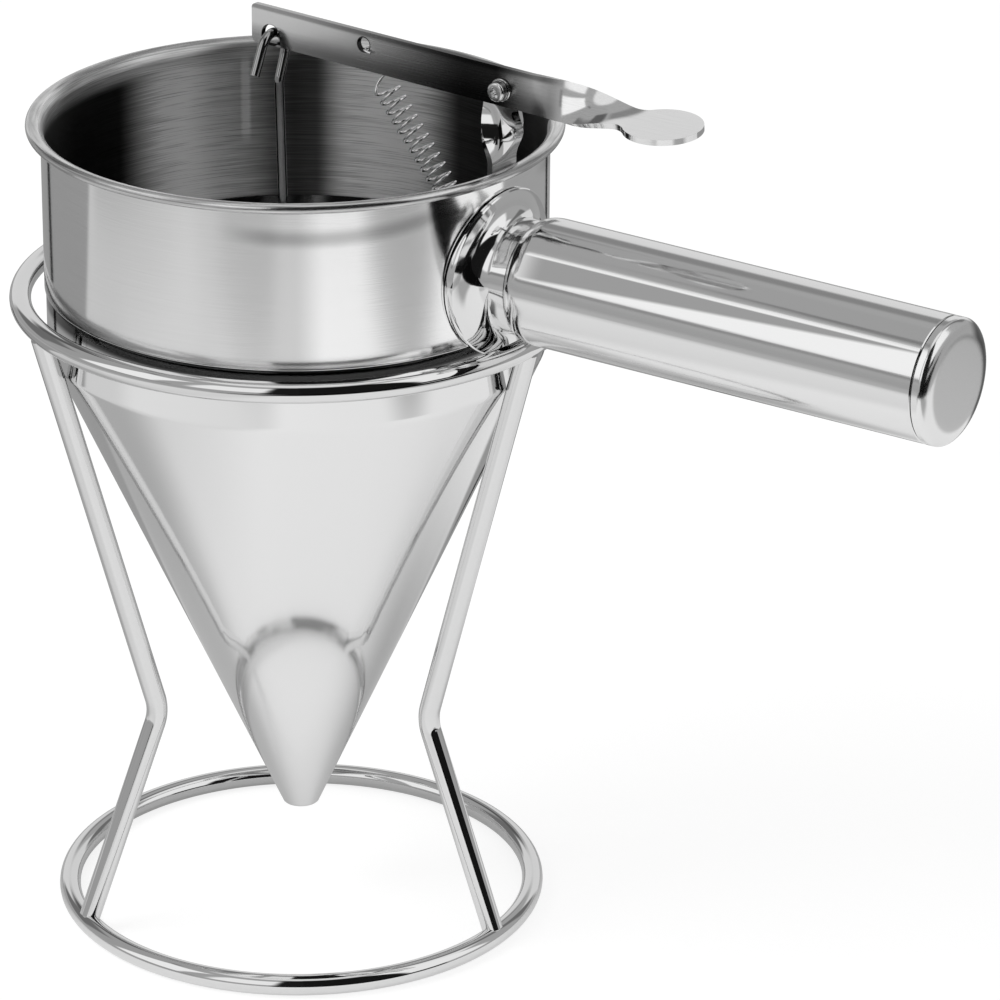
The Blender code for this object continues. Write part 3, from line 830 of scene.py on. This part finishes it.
# How far across from the plate's edge to the neck, and how far out, in shares
drawn_up = ((0.30, 0.03), (0.54, 0.12), (0.73, 0.27), (0.87, 0.48), (0.96, 0.73), (1.00, 1.00))
plate = Track(wall, neck_bore)
plate.to(wall, 0.02125).to(wall + 0.0002, plate_radius).to(wall + 0.0009, plate_radius)
plate.to(wall + plate_thick, 0.0211)
for across, rise in drawn_up:
    out = wall + plate_thick + (neck_out - wall - plate_thick) * rise
    plate.to(out, plate_radius - (plate_radius - neck_radius) * across)
plate.to(neck_end, neck_radius, held=hold).to(neck_end, neck_bore).close()
plate_bm = plate.turned(handle_steps, axis=(1.0, 0.0, 0.0))
for vert in plate_bm.verts:
    share = min(1.0, max(0.0, (neck_out - vert.co.x) / (neck_out - wall)))
    vert.co.x -= share * (wall - math.sqrt(wall**2 - vert.co.y**2))
plate_bm.normal_update()
plate_bm = moved(plate_bm, axis_x, 0.0, handle_z)
finished("handle_plate", plate_bm, "funnel", "polished_sheet", mirror_steel, "handle_flange")

# %% [markdown]
# ## The handle's tube and cap
# The tube starts in a round shoulder and narrows a little to its end. The pressed cap sits in it
# with a spigot. Both are plain turned work about the handle's own axis.

# %% Tube and cap


def along_handle(track):
    """Turn a line of (distance, radius) points about the handle's axis."""
    return moved(track.turned(handle_steps, axis=(1.0, 0.0, 0.0)), axis_x, 0.0, handle_z)


tube_start, tube_end, end_radius = 0.0748, 0.1916, 0.0158
tube = Track(tube_start, neck_bore)
tube.to(tube_start, neck_radius).quarter((tube_start, neck_radius), (0.0795, 0.0163), 12, False)
tube.to(0.19135, end_radius, held=0.0008).to(tube_end, 0.01555).to(tube_end, 0.0148)
tube.to(0.0795, 0.0153).to(0.0758, neck_bore).close()
finished("handle_barrel", along_handle(tube), "funnel", "polished_sheet", tube_steel, "handle_tube")

cap = Track(0.1856, 0.0)
cap.to(0.1856, 0.0137).to(0.1864, 0.0145).to(0.1919, 0.0145).to(0.1919, 0.01555)
cap.to(0.19205, end_radius).to(0.1935, end_radius, held=hold)
cap.quarter((0.1935, end_radius), (0.1959, 0.0105), 14, True)
cap.to(0.1959, 0.0, held=0.0008)
finished("handle_cap", along_handle(cap), "funnel", "brushed_sheet", cap_steel, "handle_end_cap")

# %% [markdown]
# ## Strips: the bracket and the lever
# Both are flat strip, twisted a quarter turn where their face has to change. A grid is laid out as
# the strip's middle sheet, its points are carried to their stations, and Solidify gives the
# thickness. Holes are cut while the faces are still plain, and a fine bevel breaks the edges last.

# %% Strip tools
strip_thick = 0.0015


def eased(value, start, length):
    share = min(1.0, max(0.0, (value - start) / length))
    return share * share * (3 - 2 * share)


def strip(name, stations, rows, carry):
    """A grid of stations by rows; carry gives the place for a station and -1 to 1 across."""
    bm = bmesh.new()
    bmesh.ops.create_grid(bm, x_segments=len(stations) - 1, y_segments=rows, size=0.5)
    for vert in bm.verts:
        station = stations[round((vert.co.x + 0.5) * (len(stations) - 1))]
        vert.co = carry(station, vert.co.y * 2)
    bmesh.ops.remove_doubles(bm, verts=bm.verts, dist=merge_near)
    made = in_scene(name, as_mesh(name, bm))
    wall_of_it = made.modifiers.new("wall", "SOLIDIFY")
    wall_of_it.thickness = strip_thick
    wall_of_it.offset = 0.0
    return made


def settle(thing, cutters=()):
    """Apply what is on the thing, take the cutters away, and return the mesh that is left."""
    bpy.context.view_layer.update()
    solid = thing.evaluated_get(bpy.context.evaluated_depsgraph_get())
    mesh = bpy.data.meshes.new_from_object(solid)
    for item in (thing, *cutters):
        bpy.data.objects.remove(item, do_unlink=True)
    return mesh


def softened(thing, width, segments=3):
    """Break the edges, and keep the flat faces flat in the shading."""
    bevel = thing.modifiers.new("edges", "BEVEL")
    bevel.width = width
    bevel.segments = segments
    bevel.limit_method = "ANGLE"
    bevel.angle_limit = math.radians(35)
    bevel.harden_normals = True
    return thing


print("strip is", strip_thick * 1000, "mm thick")

# %% [markdown]
# ### Cutting holes
# A hole is cut with a Boolean. Its cutter is a round bar, turned like any other piece, moved to its
# place and taken away once the hole is there.

# %% Cutters


def cut_out(thing, bm, place):
    """Cut the shape of bm, moved to its place, out of the thing."""
    bmesh.ops.recalc_face_normals(bm, faces=bm.faces)
    cutter = in_scene("cutter", as_mesh("cutter", moved(bm, *place)))
    boolean = thing.modifiers.new("cut", "BOOLEAN")
    boolean.object = cutter
    boolean.solver = "EXACT"
    return cutter


def bar(radius, sides=48, depth=0.008):
    """An upright round bar."""
    line = Track(0.0, -depth / 2).to(radius, -depth / 2).to(radius, depth / 2).to(0.0, depth / 2)
    return line.turned(sides)


def laid(bm):
    """Lay an upright bar down along Y."""
    bmesh.ops.rotate(bm, verts=bm.verts, matrix=Matrix.Rotation(math.radians(90), 3, "X"))
    return bm


print("cutters ready")

# %% [markdown]
# ## The bracket
# One strip carries the lever. It is welded to the inside of the band, bends in at its foot for the
# spring, and twists above the rim so that its ear stands beside the lever. Each station is a
# number, and its whole part says in which of these stretches it lies.

# %% The bracket
pivot = Vector((axis_x + pivot_out, 0.0, pivot_z))
bore_radius = 0.0020
ear_y = 0.00175
foot_x, foot_z, foot_bend, foot_run = axis_x + 0.06277, 0.1972, 0.0022, 0.0048
twist_z, twist_height, ear_z, ear_rise = 0.2198, 0.0154, 0.2352, 0.0044
half_width = 0.0052
spring_eye = Vector((axis_x + 0.05837, 0.0005, 0.1950))
eye_radius = 0.0011


def bracket_place(station, across):
    """Below 0 lies the bent foot, from 0 the straight, from 1 the twist and from 2 the ear."""
    way, width = Vector((0, 1, 0)), half_width
    if station < 0:
        turn = math.radians(90) * min(1.0, -station)
        back, down = foot_bend * (1 - math.cos(turn)), foot_bend * math.sin(turn)
        middle = Vector((foot_x - back, ear_y, foot_z - down))
        middle.x -= max(0.0, -station - 1.0) * foot_run
    elif station < 1:
        middle = Vector((foot_x, ear_y, foot_z + (twist_z - foot_z) * station))
    elif station < 2:
        turn = math.radians(90) * eased(station, 1.0, 1.0)
        middle = Vector((foot_x, ear_y, twist_z + twist_height * (station - 1)))
        way = Vector((math.sin(turn), math.cos(turn), 0))
    else:
        turn = math.radians(88) * max(0.0, station - 2.25) / 0.75
        way = Vector((1, 0, 0))
        rise = ear_z + ear_rise * min(1.0, (station - 2) / 0.25)
        middle = Vector((foot_x, ear_y, rise + (half_width - 0.0009) * math.sin(turn)))
        width = half_width * math.cos(turn)
    return middle + way * (across * width)


bracket_stations = [-2.0, -1.5, -1.0] + [-i / 10 for i in range(9, 0, -1)]
bracket_stations += [0.0, 0.05, 0.5, 0.95]
bracket_stations += [1 + i / 28 for i in range(28)]
bracket_stations += [2.0, 2.25] + [2.25 + 0.75 * i / 16 for i in range(1, 17)]
bracket_strip = strip("bracket_strip", bracket_stations, 6, bracket_place)
cutters = [
    cut_out(bracket_strip, laid(bar(bore_radius)), (pivot.x, ear_y, pivot.z)),
    cut_out(bracket_strip, bar(eye_radius, 32), spring_eye),
]
bracket_mesh = settle(bracket_strip, cutters)
bracket = finished(
    "lever_bracket_strip", bracket_mesh, "funnel", "polished_strip", strip_steel, "lever_bracket"
)
softened(bracket, 0.00025)

# %% [markdown]
# ## The lever
# The lever is a longer strip on edge. Its far end carries the slot for the rod's hook and the hole
# for the spring. Past the pivot it twists flat and widens into a disc for the thumb.

# %% The lever's outline
lever_y = -strip_thick / 2
lever_corner = 0.0012
twist_length, twist_drop = 0.0310, 0.0011
disc_at, disc_radius, fillet_radius, neck_half = 0.0470, 0.0100, 0.0060, 0.00505
fillet_run = math.sqrt((disc_radius + fillet_radius) ** 2 - (neck_half + fillet_radius) ** 2)
neck_stop = disc_at - fillet_run
disc_start = disc_at - fillet_run * disc_radius / (disc_radius + fillet_radius)


def lever_edges(x):
    """Heights of the upper and the lower edge over the pivot."""
    into = x + lever_reach
    top = lever_rise - lever_fall * into / (lever_reach + twist_start)
    bottom = top - lever_width
    if into < lever_corner:
        drop = lever_corner - math.sqrt(lever_corner**2 - (lever_corner - into) ** 2)
        top -= drop
        bottom += drop
    return top, bottom


def lever_half(x):
    """Half the width at x, past the start of the twist."""
    if x < neck_stop:
        return neck_half
    if x < disc_start:
        return neck_half + fillet_radius - math.sqrt(fillet_radius**2 - (x - neck_stop) ** 2)
    return math.sqrt(max(0.0, disc_radius**2 - (x - disc_at) ** 2))


def lever_place(x, across):
    top, bottom = lever_edges(min(x, twist_start))
    half = (top - bottom) / 2 if x < twist_start else lever_half(x)
    share = eased(x, twist_start, twist_length)
    turn = math.radians(86) * share
    middle = pivot + Vector((x, lever_y, (top + bottom) / 2 - twist_drop * share))
    return middle + Vector((0.0, math.sin(turn), math.cos(turn))) * (across * half)


straight_start = -lever_reach + lever_corner
straight_run = lever_reach - lever_corner + twist_start
first_turn = math.acos((disc_at - disc_start) / disc_radius)
disc_turns = [first_turn + (math.radians(178) - first_turn) * i / 36 for i in range(37)]
lever_stations = [
    -lever_reach + lever_corner * (1 - math.cos(math.radians(9 * i))) for i in range(10)
]
lever_stations += [straight_start + straight_run * i / 30 for i in range(1, 30)]
lever_stations += [twist_start + (disc_start - twist_start) * i / 48 for i in range(48)]
lever_stations += [disc_at - disc_radius * math.cos(turn) for turn in disc_turns]
print(len(lever_stations), "stations along the lever")

# %% [markdown]
# ### Holes in the lever
# The slot has a flat floor and a round arch. Its cutter starts as a round bar whose lower half is
# pulled down flat. Two plain bars cut the spring's hole and the pivot's.

# %% The lever
lever_strip = strip("lever_middle", lever_stations, 6, lever_place)
slot_bm = laid(bar(slot_radius, 64))
slot_floor = -0.0014
for vert in slot_bm.verts:
    if vert.co.z < -0.0001:
        vert.co.x = math.copysign(slot_radius, vert.co.x) if abs(vert.co.x) > 0.00001 else 0.0
        vert.co.z = slot_floor - slot_spring
bmesh.ops.remove_doubles(slot_bm, verts=slot_bm.verts, dist=0.000001)
bmesh.ops.dissolve_limit(slot_bm, angle_limit=0.002, verts=slot_bm.verts, edges=slot_bm.edges)
cutters = [
    cut_out(lever_strip, slot_bm, (axis_x + slot_x, lever_y, pivot.z + slot_spring)),
    cut_out(
        lever_strip, laid(bar(hole_radius)), (pivot.x - hole_back, lever_y, pivot.z + hole_up)
    ),
    cut_out(lever_strip, laid(bar(bore_radius)), (pivot.x, lever_y, pivot.z)),
]
lever_mesh = settle(lever_strip, cutters)
lever = finished("thumb_lever", lever_mesh, "lever", "brushed_strip", lever_steel, "lever")
softened(lever, 0.00045, 4)

# %% [markdown]
# ## The pivot
# A pan-head screw with a six-lobed socket holds the lever. Its head and its shank are turned in
# one. The socket is a circle whose radius swells six times, pushed in as a cutter.

# %% The screw
head_y = -0.0046
shank_radius, head_radius, head_thick, screw_length = 0.0018, 0.0025, 0.0022, 0.0110
socket_radius, socket_swell, socket_depth = 0.00125, 0.00025, 0.0010


def at_pivot(bm, y):
    """Lay a piece turned about Z down along +Y, with its base at y."""
    bmesh.ops.rotate(bm, verts=bm.verts, matrix=Matrix.Rotation(math.radians(-90), 3, "X"))
    return moved(bm, pivot.x, y, pivot.z)


head = Track(0.0, 0.0).to(shank_radius, 0.0, held=0.0001).bend(shank_radius, 0.0007, 90, 8)
head.to(head_radius, 0.00205).to(0.00235, head_thick).to(shank_radius, head_thick)
head.to(shank_radius, 0.0108).to(0.0016, screw_length).to(0.0, screw_length)
screw_blank = in_scene("screw_blank", as_mesh("screw_blank", at_pivot(head.turned(64), head_y)))
lobes = bmesh.new()
bmesh.ops.create_circle(lobes, cap_ends=True, segments=72, radius=1.0)
for vert in lobes.verts:
    turn = math.atan2(vert.co.y, vert.co.x)
    vert.co = vert.co * (socket_radius + socket_swell * math.cos(6 * turn))
raised = bmesh.ops.extrude_face_region(lobes, geom=lobes.faces[:])
far_side = [item for item in raised["geom"] if isinstance(item, bmesh.types.BMVert)]
bmesh.ops.translate(lobes, vec=(0, 0, 2 * socket_depth), verts=far_side)
bmesh.ops.rotate(lobes, verts=lobes.verts, matrix=Matrix.Rotation(math.radians(-90), 3, "X"))
socket = cut_out(screw_blank, lobes, (pivot.x, head_y - socket_depth, pivot.z))
screw_mesh = settle(screw_blank, [socket])
finished(
    "pivot_screw_head", screw_mesh, "funnel", "fasteners", screw_steel, "pivot_screw", sharp=40
)

# %% [markdown]
# ### Washers and nut
# Thin washers keep the lever turning freely, and a nut closes the stack behind the ear. The nut is
# turned round first, with its chamfers, and then pulled in to six flats. That leaves the curved
# edge between chamfer and flat that a real nut has.

# %% Washers, spacer and nut


def ring_of(radius, thick, edge=0.0001):
    """A flat ring round the screw, with broken edges."""
    track = Track(bore_radius, 0.0).to(radius - edge, 0.0).to(radius, edge)
    track.to(radius, thick - edge).to(radius - edge, thick).to(bore_radius, thick)
    return track.close().turned(64)


# Name, radius, thickness, where it starts along the screw, and its CAD node
washers = (
    ("washer_by_head", 0.0029, 0.0005, -0.0022, "pivot_washer_front"),
    ("spacer", 0.0030, 0.0006, 0.0002, "pivot_bush"),
    ("washer_by_nut", 0.0029, 0.0005, 0.0027, "pivot_washer_rear"),
)
for name, radius, thick, y, node in washers:
    finished(name, at_pivot(ring_of(radius, thick), y), "funnel", "fasteners", screw_steel, node)

flat_reach, corner_reach, chamfer_reach, nut_thick = 0.0030, 0.003464, 0.0031, 0.0024
nut = Track(bore_radius, 0.0).to(chamfer_reach, 0.0).to(corner_reach, 0.0002)
nut.to(corner_reach, 0.0022).to(chamfer_reach, nut_thick).to(bore_radius, nut_thick)
nut_bm = nut.close().turned(96)
for vert in nut_bm.verts:
    reach = math.hypot(vert.co.x, vert.co.y)
    if reach > bore_radius + 0.0001:
        turn = math.atan2(vert.co.y, vert.co.x) % math.radians(60) - math.radians(30)
        pull = min(1.0, flat_reach / math.cos(turn) / reach)
        vert.co.x *= pull
        vert.co.y *= pull
finished("nut", at_pivot(nut_bm, 0.0034), "funnel", "fasteners", screw_steel, "pivot_nut")

# %% [markdown]
# ## Wires
# A wire is bent as on a bending jig: straight, then round a post, then straight again. The line is
# drawn with extrude and spin, and a curve with a round bevel gives it its thickness.

# %% Wire tools


def extruded(bm, place):
    """Take the line on from its last point to a place."""
    bm.verts.ensure_lookup_table()
    made = bmesh.ops.extrude_vert_indiv(bm, verts=[bm.verts[-1]])
    made["verts"][0].co = place
    return made["verts"]


def bent(stops, steps=12):
    """Points of a line through the stops, each given as (point, radius of its bend)."""
    bm = bmesh.new()
    bm.verts.new(stops[0][0])
    for (before, _), (here, radius), (after, _) in zip(stops, stops[1:], stops[2:]):
        into = (here - before).normalized()
        turn = into.angle(after - here)
        axis = into.cross(after - here).normalized()
        start = here - into * (radius * math.tan(turn / 2))
        centre = start + axis.cross(into) * radius
        geom = extruded(bm, start)
        bmesh.ops.spin(bm, geom=geom, cent=centre, axis=axis, angle=turn, steps=steps)
    extruded(bm, stops[-1][0])
    points = [vert.co.copy() for vert in bm.verts]
    bm.free()
    return points


def pipe(points, radius, roundness=8):
    """A mesh of round wire along the points, with flat ends."""
    curve = bpy.data.curves.new("wire_line", "CURVE")
    curve.dimensions = "3D"
    curve.bevel_depth = radius
    curve.bevel_resolution = roundness
    curve.use_fill_caps = True
    spline = curve.splines.new("POLY")
    spline.points.add(len(points) - 1)
    for knot, point in zip(spline.points, points):
        knot.co = (*point, 1.0)
    spline.use_smooth = True
    bm = bmesh.new()
    bm.from_mesh(settle(in_scene("wire_line", curve)))
    bmesh.ops.remove_doubles(bm, verts=bm.verts, dist=0.0000005)
    bmesh.ops.recalc_face_normals(bm, faces=bm.faces)
    return bm


print("wire tools ready")

# %% [markdown]
# ## The valve
# The rod is one wire: straight up out of the plug, leaning towards the lever's end, and hooked
# forward through the slot. The hook is one arc, and the two straights leave it at their own angles.
# So that the bending jig can draw it, the corner that its straights would meet in is worked out.

# %% The rod
rod_radius, rod_bend = 0.00125, 0.005
hook_x = axis_x - 0.0060
hook_y, hook_z, hook_radius = -0.0013, 0.23585, 0.0051
rear_length, front_length = 0.0068, 0.0074
rear, front = math.radians(21.0), math.radians(25.5)


def from_hook(back, up_by):
    """A place as seen from the middle of the hook's arc."""
    return Vector((hook_x, hook_y + back, hook_z + up_by))


hook_start = from_hook(hook_radius * math.cos(rear), -hook_radius * math.sin(rear))
hook_end = from_hook(-hook_radius * math.cos(front), hook_radius * math.sin(front))
lower_bend = hook_start - Vector((0, math.sin(rear), math.cos(rear))) * rear_length
hook_tip = hook_end - Vector((0, math.sin(front), math.cos(front))) * front_length
half_sweep = (math.pi - front + rear) / 2
middle_turn = half_sweep - rear
apex_reach = hook_radius / math.cos(half_sweep)
apex = from_hook(apex_reach * math.cos(middle_turn), apex_reach * math.sin(middle_turn))
rod_stops = [
    (Vector((axis_x, 0, 0.03726)), 0.0),
    (Vector((axis_x, 0, 0.04326)), rod_bend),
    (lower_bend, rod_bend),
    (apex, hook_radius),
    (hook_tip, 0.0),
]
rod_bm = pipe(bent(rod_stops, 20), rod_radius)
finished("valve_rod_wire", rod_bm, "valve", "rod_wire", rod_steel, "valve_rod", sharp=50)

# %% [markdown]
# ### The plug
# The plug is a turned ball that closes the nozzle from inside. Its hub has a bore for the rod.

# %% The plug
ball_z, ball_radius, hub_radius, hub_bore = 0.03256, 0.006, 0.0030, 0.00155
hub_top, bore_floor = ball_z + 0.0090, ball_z + 0.0044
plug = Track(0.0, ball_z - ball_radius)
plug.bend(0.0, ball_z, 141, 24)
plug.to(hub_radius, ball_z + 0.0048).to(hub_radius, ball_z + 0.0087, held=0.0001)
plug.to(0.0027, hub_top).to(hub_bore, hub_top).to(hub_bore, bore_floor).to(0.0, bore_floor)
plug_bm = moved(plug.turned(64), axis_x)
finished("plug_ball", plug_bm, "valve", "plug_steel", mirror_steel, "valve_plug")

# %% [markdown]
# ## The spring
# An extension spring pulls the lever shut. It is one unbroken wire: a tail that goes through the
# lever's hole, open curls down the slope, and a hook in the bracket's eye. Its upper end moves with
# the lever and its lower end stays with the funnel.

# %% The spring's line
spring_slope = math.radians(50.9)
along = Vector((math.cos(spring_slope), 0, -math.sin(spring_slope)))
across = Vector((math.sin(spring_slope), 0, math.cos(spring_slope)))
forward = Vector((0, -1, 0))
first_curl = pivot + Vector((-0.0366, 0.0005, -0.0072))
lever_hole = pivot + Vector((-hole_back, 0.0, hole_up))
curl_radius, curl_pitch, curl_count, curl_steps = 0.0030, 0.00278, 14.5, 36


def curl(count):
    turn = math.radians(125) + math.tau * count
    shrink = 1 - eased(count, 13.7, 0.8)
    ring = (across * math.cos(turn) + forward * math.sin(turn)) * (curl_radius * shrink)
    return first_curl + along * (curl_pitch * count) + ring


def smooth_line(points, steps=6):
    """A smooth line through the inner points; the outer two only set its direction."""
    made = []
    for a, b, c, d in zip(points, points[1:], points[2:], points[3:]):
        for i in range(steps):
            t = i / steps
            slow, fast = 2 * a - 5 * b + 4 * c - d, 3 * b - a - 3 * c + d
            made.append(b + (c - a) * (t / 2) + slow * (t**2 / 2) + fast * (t**3 / 2))
    return made + [points[-2]]


curls = [curl(i / curl_steps) for i in range(int(curl_count * curl_steps) + 1)]
print(len(curls), "points in the curls")

# %% [markdown]
# ### Its two ends
# The ends were bent by hand, so no formula gives them. They are a few points each, measured in hole
# radii across and up and in thicknesses back, and a smooth line runs through them.

# %% The spring
tail_shares = (
    (2.11, -5.30, -0.60),
    (2.50, -4.22, 0.32),
    (2.86, -3.46, 0.67),
    (3.08, -2.32, 0.80),
    (2.65, -1.03, 0.90),
    (1.57, -0.27, 0.85),
    (0.65, -0.32, 0.62),
    (0.30, -0.51, 0.23),
    (0.27, -0.54, -0.50),
    (0.30, -0.58, -1.20),
    (0.65, -0.70, -1.50),
    (1.46, -0.86, -1.53),
)
hook_shares = (
    (-1.30, 2.10),
    (-0.30, 1.20),
    (0.0, 0.60),
    (0.0, -0.60),
    (-0.15, -1.10),
    (-0.90, -1.75),
    (-2.00, -1.80),
)
tail = [
    lever_hole + Vector((x * hole_radius, back * strip_thick, z * hole_radius))
    for x, z, back in tail_shares[::-1]
]
tail = smooth_line([2 * tail[0] - tail[1]] + tail + [curls[0], curls[4]])
hook = [spring_eye + Vector((x * eye_radius, 0, z * strip_thick)) for x, z in hook_shares]
hook = smooth_line([curls[-5], curls[-1]] + hook + [2 * hook[-1] - hook[-2]])
spring_bm = pipe(tail + curls[1:-1] + hook, 0.000375, 3)
spring = finished(
    "return_spring_wire", spring_bm, None, "spring_wire", wire_steel, "return_spring", sharp=60
)
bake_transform(spring)

# %% [markdown]
# ## The stand
# Two rings and three bent legs of round wire, welded and chromed. Each leg leans on the cone's knee
# and carries the funnel. A ring is a small circle spun round the axis, which closes without a seam.
# A leg is a bent wire whose ends run a little way into the rings.

# %% Rings and legs
wire_radius = 0.0028
first_leg = 1.5


def wire_ring(radius, height_at):
    """A circle set upright and spun round the funnel's axis."""
    bm = bmesh.new()
    bmesh.ops.create_circle(bm, segments=28, radius=wire_radius)
    laid(bm)
    moved(bm, radius, 0.0, height_at)
    bmesh.ops.spin(
        bm,
        geom=bm.verts[:] + bm.edges[:],
        cent=(0, 0, 0),
        axis=(0, 0, 1),
        angle=math.tau,
        steps=round_steps,
        use_merge=True,
    )
    bmesh.ops.remove_doubles(bm, verts=bm.verts, dist=0.0000005)
    bmesh.ops.recalc_face_normals(bm, faces=bm.faces)
    return moved(bm, axis_x)


def leg_line(outward):
    """From inside the base ring to the waist and up to the top ring."""
    stops = ((0.0620, 0.0045, 0.0), (0.0409, 0.0606, 0.012), (0.0710, 0.1706, 0.0))
    foot = Vector((axis_x, 0, 0))
    return bent([(foot + outward * out + Vector((0, 0, z)), bend) for out, z, bend in stops], 24)


for name, radius, z in (("top_ring", 0.0713, 0.1720), ("base_ring", 0.0626, wire_radius)):
    finished(name, wire_ring(radius, z), "stand", "stand_wire", chrome, f"stand_{name}")
for number in range(3):
    turn = math.radians(first_leg + 120 * number)
    leg_bm = pipe(leg_line(Vector((math.cos(turn), math.sin(turn), 0))), wire_radius, 10)
    name, node = f"leg_{number + 1}", f"stand_leg_{number + 1}"
    finished(name, leg_bm, "stand", "stand_wire", chrome, node, sharp=50)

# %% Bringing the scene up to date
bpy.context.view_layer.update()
